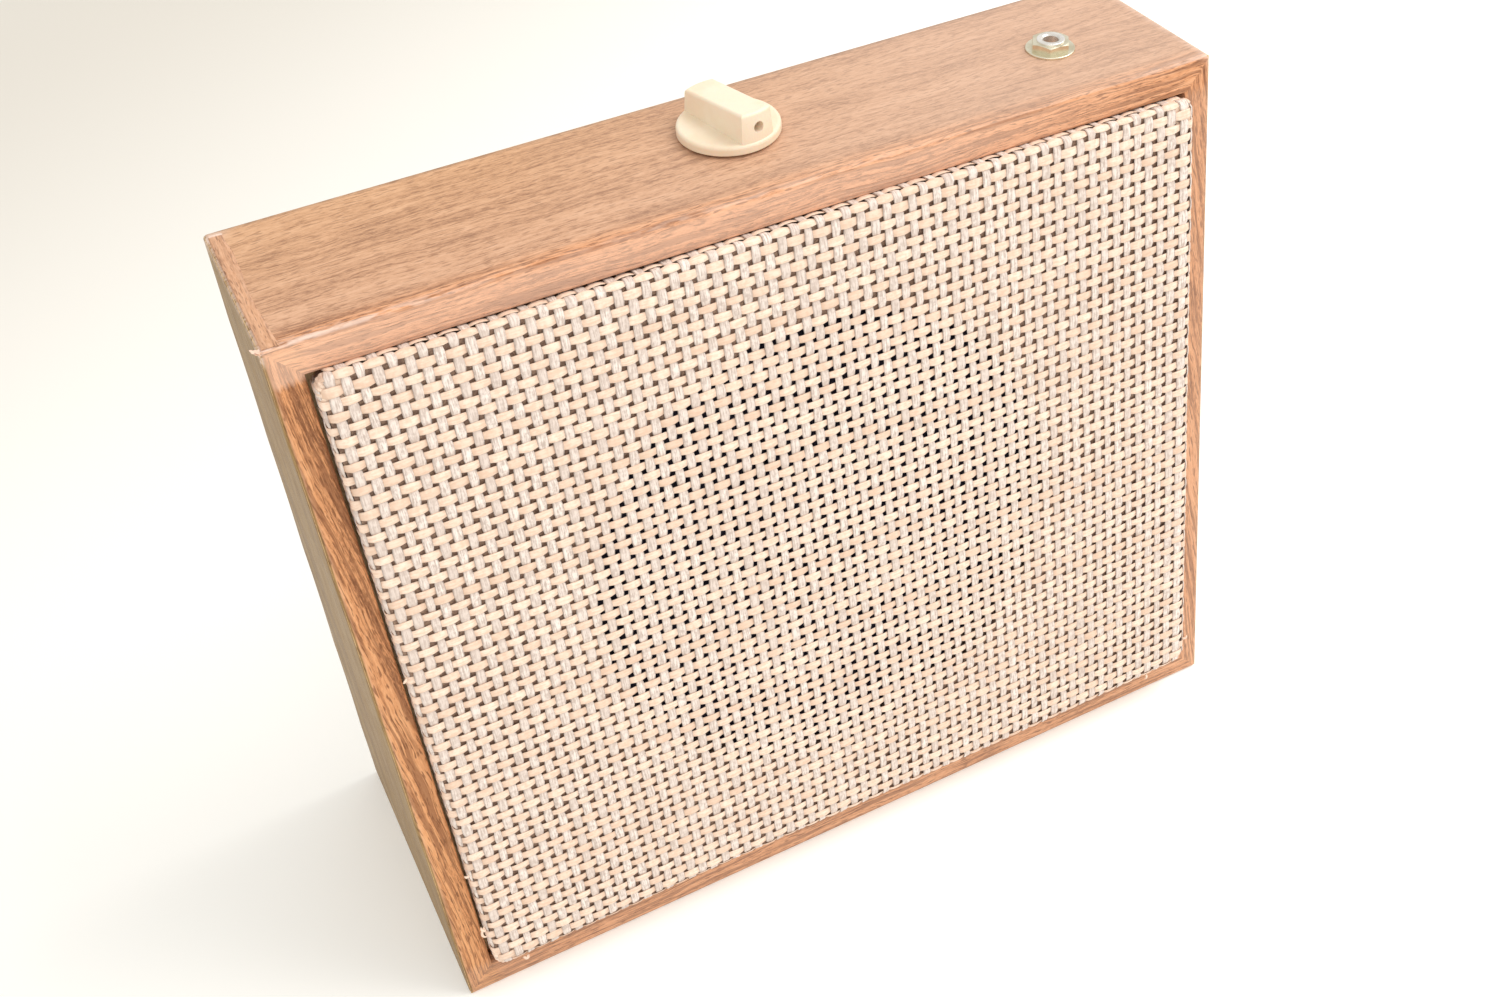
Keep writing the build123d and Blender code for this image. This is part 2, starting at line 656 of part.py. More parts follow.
preset_size = 20.0
preset_z = pcb_top + preset_size / 2
with BuildPart() as rear_cover:
    with BuildSketch(Plane.XZ.offset(-cover_y - cover)) as sheet_outline:
        with Locations((0, cover_middle)):
            Rectangle(2 * (inside - cover_gap), ceiling_z - floor_z - 2 * cover_gap)
        with Locations((0, panel_middle - 4)):
            with GridLocations(vent_pitch, vent_pitch, 9, 5):
                Circle(vent_radius, mode=Mode.SUBTRACT)
        with Locations((preset_x, preset_z)):
            Circle(4.0, mode=Mode.SUBTRACT)
        with Locations(*block_spots):
            Circle(screw, mode=Mode.SUBTRACT)
    extrude(sheet_outline.sketch, amount=cover)
save(rear_cover, "rear_cover")

# ---------------------------------------------------------------- receiver board
board_spots = [(pcb_x + x, pcb_y + y) for x in (-pcb_width / 2 + 5, pcb_width / 2 - 5)
               for y in (-pcb_depth / 2 + 4, pcb_depth / 2 - 4)]
with BuildPart() as board_screws:
    with BuildSketch(Plane.XY.offset(pcb_top)) as shanks:
        with Locations(*board_spots):
            Circle(1.2)
    extrude(shanks.sketch, amount=-pcb - pillar - 4)
    with BuildSketch(Plane.XY.offset(pcb_top)) as heads:
        with Locations(*board_spots):
            Circle(2.3)
    extrude(heads.sketch, amount=1.4, taper=10)
save(board_screws, "board_screws")

with BuildPart() as board_pillars:
    with BuildSketch(Plane.XY.offset(floor_z)) as tubes:
        with Locations(*board_spots):
            Circle(3)
            Circle(1.2, mode=Mode.SUBTRACT)
    extrude(tubes.sketch, amount=pillar)
save(board_pillars, "board_pillars")

with BuildPart() as circuit_board:
    with BuildSketch(Plane.XY.offset(pcb_z)) as outline:
        with Locations((pcb_x, pcb_y)):
            RectangleRounded(pcb_width, pcb_depth, 1.5)
        with Locations(*board_spots):
            Circle(1.2, mode=Mode.SUBTRACT)
    extrude(outline.sketch, amount=pcb)
save(circuit_board, "circuit_board")

preset_back = pcb_y + pcb_depth / 2 - 2
with BuildPart() as preset_capacitor:
    with Locations((preset_x, preset_back, pcb_top)):
        Box(preset_size, 12, preset_size, align=(Align.CENTER, Align.MAX, Align.MIN))
    fillet(edges().filter_by(Axis.Y), 2)
    with BuildSketch(Plane.XZ.offset(-preset_back)) as bore:
        with Locations((preset_x, preset_z)):
            Circle(2 + slip)
    extrude(bore.sketch, amount=8, mode=Mode.SUBTRACT)
save(preset_capacitor, "preset_capacitor")

spindle_out = 3.5
with BuildPart() as preset_spindle:
    with BuildSketch(Plane.XZ.offset(-preset_back - spindle_out)) as rod:
        with Locations((preset_x, preset_z)):
            Circle(2)
    extrude(rod.sketch, amount=spindle_out + 7.5)
    with BuildSketch(Plane.XZ.offset(-preset_back - spindle_out)) as slot:
        with Locations((preset_x, preset_z)):
            Rectangle(5, 0.8)
    extrude(slot.sketch, amount=1.2, mode=Mode.SUBTRACT)
save(preset_spindle, "preset_spindle")

# component places are (x, y) from the middle of the circuit board
with BuildPart() as if_transformers:
    for x, y in ((-12, 10), (4, 10), (20, 10), (36, 10)):
        with Locations((pcb_x + x, pcb_y + y, pcb_top)):
            Box(7.5, 7.5, 11, align=up)
            with Locations((0, 0, 11)):
                Cylinder(2, 1.2, align=down, mode=Mode.SUBTRACT)
save(if_transformers, "if_transformers")

with BuildPart() as transistors:
    for x, y in ((-22, -4), (-4, -2), (12, -2), (28, -2), (38.6, -5), (24, -17), (33, -18)):
        with Locations((pcb_x + x, pcb_y + y, pcb_top)):
            Cylinder(0.35, 4, align=up)
            with Locations((0, 0, 4)):
                Cylinder(3.1, 0.6, align=up)
                Cylinder(2.7, 6, align=up)
save(transistors, "transistors")

with BuildPart() as electrolytic_capacitors:
    for x, y, r, tall in ((-30, -14, 4, 13), (-18, -14, 3, 10), (46, -2, 4, 13),
                          (46, -16, 3.5, 11)):
        with Locations((pcb_x + x, pcb_y + y, pcb_top)):
            Cylinder(r, tall, align=up)
save(electrolytic_capacitors, "electrolytic_capacitors")

with BuildPart() as disc_capacitors:
    for x, y in ((-24, 12), (-4, 12), (12, 12), (28, 12), (-12, 0), (4, 0), (20, -4)):
        with Locations((pcb_x + x, pcb_y + y, pcb_top)):
            Box(1, 0.6, 3, align=up)
            with Locations(Location((0, 0, 6), (90, 0, 0))):
                Cylinder(3.4, 2)
save(disc_capacitors, "disc_capacitors")

with BuildPart() as resistors:
    for row, y in enumerate((4, -7.6, -10.1)):
        for x in range(-20, 44, 16):
            with Locations(Location((pcb_x + x + 4 * row, pcb_y + y, pcb_top + 1.2),
                                    (0, 90, 0))):
                Cylinder(1.1, 6)
                Cylinder(0.3, 10)
save(resistors, "resistors")

with BuildPart() as audio_transformers:
    for x in (-2, 14):
        with Locations((pcb_x + x, pcb_y - 16, pcb_top)):
            Box(13, 5, 11, align=up)
            with Locations((0, 0, 2)):
                Box(9, 9, 7, align=up)
save(audio_transformers, "audio_transformers")

# ---------------------------------------------------------------- aerial
with BuildPart() as ferrite_rod:
    with Locations(Location((rod_x, rod_y, rod_z), (0, 90, 0))):
        Cylinder(rod_radius, rod_length)
save(ferrite_rod, "ferrite_rod")

coil_x = rod_x - rod_length / 4
with BuildPart() as aerial_coil:
    with Locations(Location((coil_x, rod_y, rod_z), (0, 90, 0))):
        Cylinder(rod_radius + 0.6, 34)
        Cylinder(rod_radius + 1.1, 26)
        Cylinder(rod_radius, 40, mode=Mode.SUBTRACT)
save(aerial_coil, "aerial_coil")

holder_spots = (rod_x - rod_length / 2 + 8, min(rod_x + 10, knob_x - pot_radius - 8))
with BuildPart() as rod_holders:
    for x in holder_spots:
        with Locations(Location((x, rod_y, rod_z), (0, 90, 0))):
            Cylinder(rod_radius + 2, 5)
        with Locations((x, rod_y, rod_z)):
            Box(5, 5, ceiling_z - rod_z, align=up)
        with Locations((x, rod_y, ceiling_z)):
            Box(5, 14, 2, align=down)
        with Locations(Location((x, rod_y, rod_z), (0, 90, 0))):
            Cylinder(rod_radius, 6, mode=Mode.SUBTRACT)
save(rod_holders, "rod_holders")

# ---------------------------------------------------------------- battery
length, depth, tall = battery_size
with BuildPart() as battery:
    with Locations((battery_x, battery_y, floor_z)):
        Box(length, depth, tall, align=up)
    fillet(edges().filter_by(Axis.X), 1.5)
    for z in (-stud_offset, stud_offset):
        with Locations(Location((battery_x - length / 2, battery_y, floor_z + tall / 2 + z),
                                (0, -90, 0))):
            Cylinder(2.8, 2.5, align=up)
save(battery, "battery")

snap_x = battery_x - length / 2 - 0.4
with BuildPart() as battery_connector:
    with Locations((snap_x, battery_y, floor_z + tall / 2)):
        Box(5, 12, 25, align=(Align.MAX, Align.CENTER, Align.CENTER))
    fillet(edges().filter_by(Axis.X), 4)
    for z in (-stud_offset, stud_offset):
        with Locations(Location((snap_x + 0.1, battery_y, floor_z + tall / 2 + z), (0, -90, 0))):
            Cylinder(2.8, 2.3, align=up, mode=Mode.SUBTRACT)
save(battery_connector, "battery_connector")

clip_x = battery_x + 8
clip_gap = 0.1
with BuildPart() as battery_clip:
    with BuildSketch(Plane.YZ.offset(clip_x)) as strap:
        with Locations((battery_y, floor_z)):
            low = -depth / 2 - clip_gap
            high = depth / 2 + clip_gap
            peak = tall + clip_gap
            Polygon((low - 9, 0), (low, 0), (low, peak), (high, peak), (high, peak + 0.6),
                    (low - 0.6, peak + 0.6), (low - 0.6, 0.6), (low - 9, 0.6), align=None)
    extrude(strap.sketch, amount=10)
    with BuildSketch(Plane.YZ.offset(clip_x)) as hook:
        with Locations((battery_y, floor_z)):
            Polygon((high, peak + 0.6), (high, peak - 5), (high + 0.6, peak - 5),
                    (high + 0.6, peak + 0.6), align=None)
    extrude(hook.sketch, amount=10)
save(battery_clip, "battery_clip")


# ---------------------------------------------------------------- leads
def wire(*route):
    """A round lead along straight runs joined by the largest tangent arcs the runs allow."""
    points = [Vector(*point) for point in route]
    runs = [b - a for a, b in zip(points, points[1:])]
    bends = []
    for one, two in zip(runs, runs[1:]):
        turn = radians(one.get_angle(two))
        bends.append(min(0.45 * min(one.length, two.length) / tan(turn / 2), 12))
    with BuildLine() as path:
        FilletPolyline(*points, radius=bends)
    with BuildSketch(Plane(origin=path.line @ 0, z_dir=path.line % 0)) as section:
        Circle(lead)
    sweep(section.sketch, path=path.line)


landing = pcb_top + lead
tag_face = tag_plane.offset(2.1 + lead).origin
with BuildPart() as speaker_leads:
    for x, y in ((-5.5, 2), (5.5, 6)):
        wire((x, tag_face.Y, tag_face.Z), (x, y, tag_face.Z - 2),
             (pcb_x - 32 + x, y + 4, pcb_top + 21), (pcb_x - 36 + x - 0.4 * y, y + 4, landing))
save(speaker_leads, "speaker_leads")

with BuildPart() as battery_leads:
    for y, x in ((battery_y - 2, pcb_x + 46), (battery_y + 2, pcb_x + 50)):
        wire((snap_x - 5, y, floor_z + tall / 2 + 7), (x, y, floor_z + tall / 2 + 7), (x, y, landing))
save(battery_leads, "battery_leads")

tag_y = knob_y - pot_radius - 1.6
with BuildPart() as control_leads:
    for step in (-1, 0, 1):
        wire((knob_x + 4 * step, tag_y, pot_z - pot_height / 2 - 0.3 - lead),
             (knob_x + 4 * step, tag_y, pot_z - 19), (3 * step + 33.3 - inside, 10, rod_z + 4),
             (3 * step + 13.3 - inside, 7, rod_z - 22), (3 * step + 13.3 - inside, 5, pcb_top + 28),
             (pcb_x - 48, 4 * step, landing + 0.4))
    for x, y in ((spring_x + 1.35, 2), (jack_x - jack_body_size / 2, -2)):
        wire((x, jack_y, spring_low - 4 - lead), (x, jack_y, spring_low - 18),
             (inside - 15.3 + y, 7 + y, rod_z - 30), (inside - 16.3 + y, 0, pcb_top + 40),
             (battery_x - 8.6, y - 9, pcb_top + 16), (pcb_x + 58, y - 5, pcb_top + 10),
             (pcb_x + 53, y - 3, landing + 0.2))
save(control_leads, "control_leads")
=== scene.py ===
import bpy
import math
import numpy as np
from mathutils import Matrix, Vector


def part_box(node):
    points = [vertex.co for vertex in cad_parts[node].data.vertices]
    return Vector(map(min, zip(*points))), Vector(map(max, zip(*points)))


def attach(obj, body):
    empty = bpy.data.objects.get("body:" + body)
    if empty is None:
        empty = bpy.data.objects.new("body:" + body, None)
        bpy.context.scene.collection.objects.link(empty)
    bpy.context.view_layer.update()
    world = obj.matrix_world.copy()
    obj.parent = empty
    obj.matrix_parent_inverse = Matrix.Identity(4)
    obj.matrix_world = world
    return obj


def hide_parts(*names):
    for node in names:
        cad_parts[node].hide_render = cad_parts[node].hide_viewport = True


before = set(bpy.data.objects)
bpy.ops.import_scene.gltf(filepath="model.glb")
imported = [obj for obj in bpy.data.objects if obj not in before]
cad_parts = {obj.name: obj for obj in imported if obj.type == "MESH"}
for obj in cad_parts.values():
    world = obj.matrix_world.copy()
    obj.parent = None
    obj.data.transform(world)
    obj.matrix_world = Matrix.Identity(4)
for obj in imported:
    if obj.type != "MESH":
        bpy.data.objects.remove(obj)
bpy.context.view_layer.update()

# A sloping-front loudspeaker radio: vinyl over plywood, an open-weave cloth front, an ivory knob
# and a nickel earphone jack. Metres, in the frame's own axes: X right, Y back, Z up.
mm = 0.001
rng = np.random.default_rng(7)


# ------------------------------------------------------------------ sizes read from the frame
def low(node):
    return np.array(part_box(node)[0])


def high(node):
    return np.array(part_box(node)[1])


half_width = high("vinyl_wrap")[0]
height = high("vinyl_wrap")[2]
back = high("vinyl_wrap")[1]
base_front = low("vinyl_base")[1]
side = low("left_side_board")
board_thick = high("left_side_board")[0] - side[0]
skin = side[0] + half_width
top_front = low("top_board")[1]
wall = board_thick + skin
rise = low("top_board") - low("bottom_board")
tilt = math.atan2(rise[1], rise[2])
normal = np.array([0.0, -math.cos(tilt), math.sin(tilt)])
upward = np.array([0.0, math.sin(tilt), math.cos(tilt)])
sideways = np.array([1.0, 0.0, 0.0])
foot = np.array([0.0, base_front, 0.0])
slope_axes = np.stack([sideways, upward, normal])


def front_y(z):
    """Y of the sloping front plane at height z."""
    return base_front + z * math.tan(tilt)


def on_slope(spot):
    """Points given as across, up the slope and out of it, in the frame's own axes."""
    return foot + spot @ slope_axes


# ------------------------------------------------------------------ camera and light
def place_camera():
    """A camera at a point, looking along a direction, rolled about that direction."""
    data = bpy.data.cameras.new("camera")
    data.lens = 38.7
    data.sensor_width = 36.0
    data.clip_start = 0.01
    camera = bpy.data.objects.new("camera", data)
    at = Vector((-0.1268, -0.2601, 0.34527))
    ahead = Vector((0.3063, 0.6741, -0.67214)).normalized()
    roll = math.radians(-3.69)
    level = ahead.cross(Vector((0, 0, 1))).normalized()
    over = level.cross(ahead).normalized()
    right = level * math.cos(roll) + over * math.sin(roll)
    over = right.cross(ahead).normalized()
    turn = Matrix((right, over, -ahead)).transposed().to_4x4()
    camera.matrix_world = Matrix.Translation(at) @ turn
    bpy.context.collection.objects.link(camera)
    bpy.context.scene.camera = camera


def area_light(name, at, aim, size, watts, colour):
    data = bpy.data.lights.new(name, "AREA")
    data.shape = "SQUARE"
    data.size = size
    data.energy = watts
    data.color = colour
    lamp = bpy.data.objects.new(name, data)
    lamp.location = at
    lamp.rotation_euler = (Vector(aim) - Vector(at)).to_track_quat("-Z", "Y").to_euler()
    bpy.context.collection.objects.link(lamp)


def light_scene():
    world = bpy.data.worlds.new("soft_room")
    world.use_nodes = True
    ground = world.node_tree.nodes["Background"]
    ground.inputs["Color"].default_value = (1.0, 0.985, 0.955, 1)
    ground.inputs["Strength"].default_value = 0.86
    bpy.context.scene.world = world
    area_light("key", (0.75, -0.15, 1.05), (0, 0, 0.1), 0.8, 9, (1.0, 0.97, 0.94))
    area_light("fill", (-0.5, -1.1, 0.9), (0, 0, 0.1), 1.4, 4, (1.0, 0.98, 0.96))
    bpy.context.scene.view_settings.view_transform = "Standard"
    bpy.context.scene.view_settings.exposure = 0.0


# ------------------------------------------------------------------ material tools
class Nodes:
    """A node tree with short calls for adding nodes and joining them."""

    def __init__(self, tree):
        self.tree = tree

    def add(self, kind, operation=None, **sockets):
        node = self.tree.nodes.new(kind)
        if operation:
            node.operation = operation
        for name, value in sockets.items():
            self.feed(node, int(name[1:]) if name[0] == "_" else name.replace("_", " "), value)
        return node

    def feed(self, node, key, value):
        socket = node.inputs[key]
        if isinstance(value, bpy.types.NodeSocket):
            self.tree.links.new(value, socket)
        else:
            socket.default_value = value

    def maths(self, operation, one, two=0.0, clamp=False):
        node = self.add("ShaderNodeMath", operation, _0=one, _1=two)
        node.use_clamp = clamp
        return node.outputs[0]

    def mix(self, factor, one, two, blend="MIX"):
        node = self.tree.nodes.new("ShaderNodeMix")
        node.data_type = "RGBA"
        node.blend_type = blend
        self.feed(node, 0, factor)
        self.feed(node, 6, one)
        self.feed(node, 7, two)
        return node.outputs[2]

    def stretch(self, vector, scale, shift=(0, 0, 0)):
        node = self.add("ShaderNodeMapping", Vector=vector, Scale=scale, Location=shift)
        return node.outputs[0]

    def noise(self, vector, scale=1.0, detail=3.0, roughness=0.5, warp=0.0):
        node = self.add("ShaderNodeTexNoise", Vector=vector, Scale=scale, Detail=detail,
                        Roughness=roughness, Distortion=warp)
        return node.outputs[0]

    def between(self, value, start, end):
        """0 below start, 1 above end, smooth between."""
        node = self.tree.nodes.new("ShaderNodeMapRange")
        node.interpolation_type = "SMOOTHSTEP"
        self.feed(node, 0, value)
        self.feed(node, 1, start)
        self.feed(node, 2, end)
        return node.outputs[0]


def new_group(name, inputs, outputs):
    """An empty shader node group with named sockets, its inside, its inputs and its output node."""
    tree = bpy.data.node_groups.new(name, "ShaderNodeTree")
    kinds = {"v": "NodeSocketVector", "c": "NodeSocketColor", "f": "NodeSocketFloat"}
    for label, kind in inputs.items():
        tree.interface.new_socket(label, in_out="INPUT", socket_type=kinds[kind])
    for label, kind in outputs.items():
        tree.interface.new_socket(label, in_out="OUTPUT", socket_type=kinds[kind])
    inside = Nodes(tree)
    source = tree.nodes.new("NodeGroupInput")
    sink = tree.nodes.new("NodeGroupOutput")
    return tree, inside, source.outputs, sink


def make_wear_group():
    """Slow tone change, fine scuffs and a fine grain: a colour, a roughness and a height."""
    tree, n, given, out = new_group(
        "handled_surface",
        {"Vector": "v", "Colour": "c", "Worn colour": "c", "Size": "f", "Smooth": "f",
         "Rough": "f", "Wear": "f"},
        {"Colour": "c", "Roughness": "f", "Height": "f"})
    scaled = n.add("ShaderNodeVectorMath", "SCALE", _0=given["Vector"])
    n.tree.links.new(given["Size"], scaled.inputs[3])
    place = scaled.outputs[0]
    cloud = n.noise(place, 0.35, 3.0, 0.55)
    grain = n.noise(place, 9.0, 2.0, 0.6)
    scratch = n.noise(n.stretch(place, (1.0, 14.0, 5.0)), 1.3, 2.0, 0.5)
    scuffs = n.between(scratch, 0.60, 0.72)
    worn = n.maths("MULTIPLY", n.between(cloud, 0.42, 0.68), given["Wear"], True)
    worn = n.maths("ADD", worn, n.maths("MULTIPLY", scuffs, n.maths("MULTIPLY", given["Wear"], 0.5)),
                   True)
    n.feed(out, "Colour", n.mix(worn, given["Colour"], given["Worn colour"]))
    spread = n.maths("SUBTRACT", given["Rough"], given["Smooth"])
    blend = n.maths("ADD", n.maths("MULTIPLY", cloud, 0.6), n.maths("MULTIPLY", grain, 0.5), True)
    n.feed(out, "Roughness", n.maths("ADD", given["Smooth"], n.maths("MULTIPLY", spread, blend)))
    n.feed(out, "Height", n.maths("ADD", n.maths("MULTIPLY", grain, 0.6),
                                  n.maths("MULTIPLY", scuffs, -0.4)))
    return tree


def make_grain_group():
    """Printed wood along the first axis of Vector: slow figure, streaks, short dark pores, and
    fine wavy ridge lines whose strength is Ridges."""
    tree, n, given, out = new_group(
        "wood_figure",
        {"Vector": "v", "Light": "c", "Middle": "c", "Dark": "c", "Pores": "f", "Ridges": "f"},
        {"Colour": "c", "Height": "f"})
    place = given["Vector"]
    sway = n.noise(n.stretch(place, (26, 60, 1)), 1.0, 3.0, 0.55)
    offset = n.add("ShaderNodeCombineXYZ", Y=n.maths("MULTIPLY", n.maths("SUBTRACT", sway, 0.5),
                                                     0.0045)).outputs[0]
    bent = n.add("ShaderNodeVectorMath", "ADD", _0=place, _1=offset).outputs[0]
    figure = n.noise(n.stretch(bent, (7, 110, 1)), 1.0, 2.0, 0.5)
    streak = n.noise(n.stretch(bent, (60, 760, 1)), 1.0, 4.0, 0.65)
    fibre = n.noise(n.stretch(bent, (420, 2600, 1)), 1.0, 3.0, 0.7)
    speck = n.noise(n.stretch(place, (1500, 2300, 1)), 1.0, 2.0, 0.6)
    pores = n.between(n.noise(n.stretch(bent, (300, 2100, 1), (3, 7, 0)), 1.0, 1.0, 0.5),
                      0.56, 0.68)
    lines = n.noise(n.stretch(bent, (26, 900, 1), (1, 9, 0)), 1.0, 2.0, 0.55)
    ridge = n.maths("MULTIPLY", n.between(lines, 0.47, 0.60), given["Ridges"], True)
    tone = n.maths("ADD", n.maths("MULTIPLY", figure, 0.30), n.maths("MULTIPLY", streak, 0.34))
    tone = n.maths("ADD", tone, n.maths("MULTIPLY", fibre, 0.36))
    colour = n.mix(n.between(tone, 0.38, 0.51), given["Dark"], given["Middle"])
    colour = n.mix(n.between(tone, 0.47, 0.60), colour, given["Light"])
    colour = n.mix(n.maths("MULTIPLY", n.between(speck, 0.35, 0.70), 0.22), colour, given["Light"])
    colour = n.mix(n.maths("MULTIPLY", pores, given["Pores"]), colour, given["Dark"])
    colour = n.mix(n.maths("MULTIPLY", ridge, 0.75), colour, given["Dark"])
    n.feed(out, "Colour", colour)
    height = n.maths("ADD", n.maths("MULTIPLY", fibre, 0.6), n.maths("MULTIPLY", pores, -0.5))
    n.feed(out, "Height", n.maths("SUBTRACT", height, n.maths("MULTIPLY", ridge, 0.9)))
    return tree


wear_group = make_wear_group()
grain_group = make_grain_group()


def use_group(nodes, tree, **sockets):
    node = nodes.tree.nodes.new("ShaderNodeGroup")
    node.node_tree = tree
    for name, value in sockets.items():
        nodes.feed(node, name.replace("_", " "), value)
    return node


def rgb(r, g, b):
    """A display colour, 0 to 255, as the linear values that a shader takes."""
    def linear(v):
        v = v / 255
        return v / 12.92 if v <= 0.04045 else ((v + 0.055) / 1.055) ** 2.4
    return (linear(r), linear(g), linear(b), 1.0)


def blank_material(name, **constants):
    """A material with one Principled shader whose steady values are set on its own sockets."""
    material = bpy.data.materials.new(name)
    material.use_nodes = True
    nodes = Nodes(material.node_tree)
    shader = material.node_tree.nodes["Principled BSDF"]
    for label, value in constants.items():
        shader.inputs[label.replace("_", " ")].default_value = value
    return material, nodes, shader


def bump(nodes, shader, height, distance, strength=1.0):
    node = nodes.add("ShaderNodeBump", Height=height, Distance=distance, Strength=strength)
    nodes.feed(shader, "Normal", node.outputs[0])


def handled(name, colour, worn, rough=(0.3, 0.5), size=400.0, wear=0.35, depth=0.00004, **constants):
    """A plain finish with handling: tone change, scuffs and fine grain from the shared group."""
    material, nodes, shader = blank_material(name, **constants)
    place = nodes.tree.nodes.new("ShaderNodeTexCoord").outputs["Object"]
    look = use_group(nodes, wear_group, Vector=place, Colour=rgb(*colour), Worn_colour=rgb(*worn),
                     Size=size, Smooth=rough[0], Rough=rough[1], Wear=wear)
    nodes.feed(shader, "Base Color", look.outputs["Colour"])
    nodes.feed(shader, "Roughness", look.outputs["Roughness"])
    bump(nodes, shader, look.outputs["Height"], depth)
    return material


# ------------------------------------------------------------------ finishes
def make_vinyl():
    """Wood-printed vinyl: figure along the UV, warmer and ridged on the front rim, painted shade
    on the side faces, strongest on the left, greyer to the right of the top, with paler rubbed folds."""
    material, n, shader = blank_material("woodgrain_vinyl", **{"Specular_IOR_Level": 0.35})

    def mask(label):
        node = n.tree.nodes.new("ShaderNodeAttribute")
        node.attribute_name = label
        return node.outputs["Fac"]

    uv = n.tree.nodes.new("ShaderNodeUVMap")
    uv.uv_map = "grain"
    rim = mask("rim")
    face = use_group(n, grain_group, Vector=uv.outputs[0], Light=rgb(216, 172, 141),
                     Middle=rgb(198, 152, 120), Dark=rgb(150, 108, 82), Pores=0.60, Ridges=0.0)
    front = use_group(n, grain_group, Vector=uv.outputs[0], Light=rgb(232, 172, 128),
                      Middle=rgb(214, 148, 102), Dark=rgb(128, 78, 46), Pores=0.80, Ridges=0.85)
    colour = n.mix(rim, face.outputs["Colour"], front.outputs["Colour"])
    colour = n.mix(mask("deep"), colour, (1.0, 0.98, 0.84, 1), "MULTIPLY")
    colour = n.mix(n.maths("MULTIPLY", mask("cool"), 0.34), colour, rgb(206, 180, 162))
    # painted shade on the side faces: full on the left, 0.3 of it on the right
    colour = n.mix(mask("shade"), colour, (0.52, 0.54, 0.30, 1), "MULTIPLY")
    colour = n.mix(n.maths("MULTIPLY", mask("glow"), 0.40), colour, rgb(250, 212, 188))
    place = n.tree.nodes.new("ShaderNodeTexCoord").outputs["Object"]
    broken = n.noise(n.stretch(place, (170, 900, 900)), 1.0, 3.0, 0.6)
    pale = n.maths("MULTIPLY", mask("rubbed"), n.between(broken, 0.34, 0.54), True)
    colour = n.mix(n.maths("MULTIPLY", pale, 0.85), colour, rgb(240, 214, 198))
    n.feed(shader, "Base Color", colour)
    sheen = n.noise(place, 90.0, 3.0, 0.5)
    n.feed(shader, "Roughness", n.maths("ADD", n.maths("MULTIPLY", sheen, 0.22), 0.38))
    height = n.mix(rim, face.outputs["Height"], front.outputs["Height"])
    bump(n, shader, height, 0.00010)
    return material


def make_strand(name, light, dark, shade):
    """A flat spun strand: lengthwise fibres from its UV, toned by strand, with painted shade where
    it dips under the crossing strands.
    """
    material, n, shader = blank_material(name, **{"Specular_IOR_Level": 0.25,
                                                  "Sheen_Weight": 0.15, "Sheen_Roughness": 0.5})
    uv = n.tree.nodes.new("ShaderNodeUVMap")
    uv.uv_map = "strand"
    tone = n.tree.nodes.new("ShaderNodeAttribute")
    tone.attribute_name = "tone"
    fibres = n.noise(n.stretch(uv.outputs[0], (11, 300, 1)), 1.0, 3.0, 0.6)
    specks = n.noise(n.stretch(uv.outputs[0], (3.0, 900, 1)), 1.0, 2.0, 0.6)
    both = n.maths("ADD", n.maths("MULTIPLY", fibres, 0.65), n.maths("MULTIPLY", specks, 0.35))
    colour = n.mix(n.between(both, 0.38, 0.60), rgb(*dark), rgb(*light))
    # mixed toward the shade colour by tone: random by strand, plus painted shade at the dips
    colour = n.mix(n.maths("MULTIPLY", tone.outputs["Fac"], 0.6, True), colour, rgb(*shade))
    n.feed(shader, "Base Color", colour)
    n.feed(shader, "Roughness", n.maths("ADD", n.maths("MULTIPLY", fibres, 0.3), 0.45))
    bump(n, shader, both, 0.00012)
    return material


def make_plywood(name, axis):
    """Plywood whose plies are stacked along one axis, with pale faces and darker glue lines."""
    material, n, shader = blank_material(name, **{"Specular_IOR_Level": 0.3})
    place = n.tree.nodes.new("ShaderNodeTexCoord").outputs["Object"]
    split = n.add("ShaderNodeSeparateXYZ", Vector=place)
    depth = split.outputs[axis]
    across = n.maths("ADD", split.outputs[1], depth)
    lengthwise = n.add("ShaderNodeCombineXYZ", X=split.outputs[2 - axis], Y=across).outputs[0]
    wobble = n.maths("MULTIPLY", n.noise(place, 60.0, 2.0), 0.0004)
    ply = n.maths("PINGPONG", n.maths("ADD", depth, wobble), 0.00128)
    glue = n.between(ply, 0.00112, 0.00122)
    tree = use_group(n, grain_group, Vector=lengthwise, Light=rgb(226, 196, 152),
                     Middle=rgb(205, 170, 124), Dark=rgb(160, 122, 80), Pores=0.5,
                     Ridges=0.0)
    n.feed(shader, "Base Color", n.mix(n.maths("MULTIPLY", glue, 0.6), tree.outputs["Colour"],
                                       rgb(122, 84, 52)))
    n.feed(shader, "Roughness", n.maths("ADD", n.maths("MULTIPLY", n.noise(place, 300.0), 0.2), 0.55))
    bump(n, shader, tree.outputs["Height"], 0.00008)
    return material


def make_hardboard(name, dark, light, patch):
    """Pressed fibre board: matted short fibres in browns over a fine pebbled surface."""
    material, n, shader = blank_material(name, **{"Specular_IOR_Level": 0.3})
    place = n.tree.nodes.new("ShaderNodeTexCoord").outputs["Object"]
    matted = n.noise(place, 900.0, 4.0, 0.7, 1.5)
    patches = n.noise(place, 70.0, 3.0, 0.6)
    colour = n.mix(n.between(matted, 0.35, 0.65), rgb(*dark), rgb(*light))
    colour = n.mix(n.maths("MULTIPLY", n.between(patches, 0.45, 0.7), 0.35), colour,
                   rgb(*patch))
    n.feed(shader, "Base Color", colour)
    n.feed(shader, "Roughness", n.maths("ADD", n.maths("MULTIPLY", matted, 0.25), 0.50))
    bump(n, shader, matted, 0.00010)
    return material


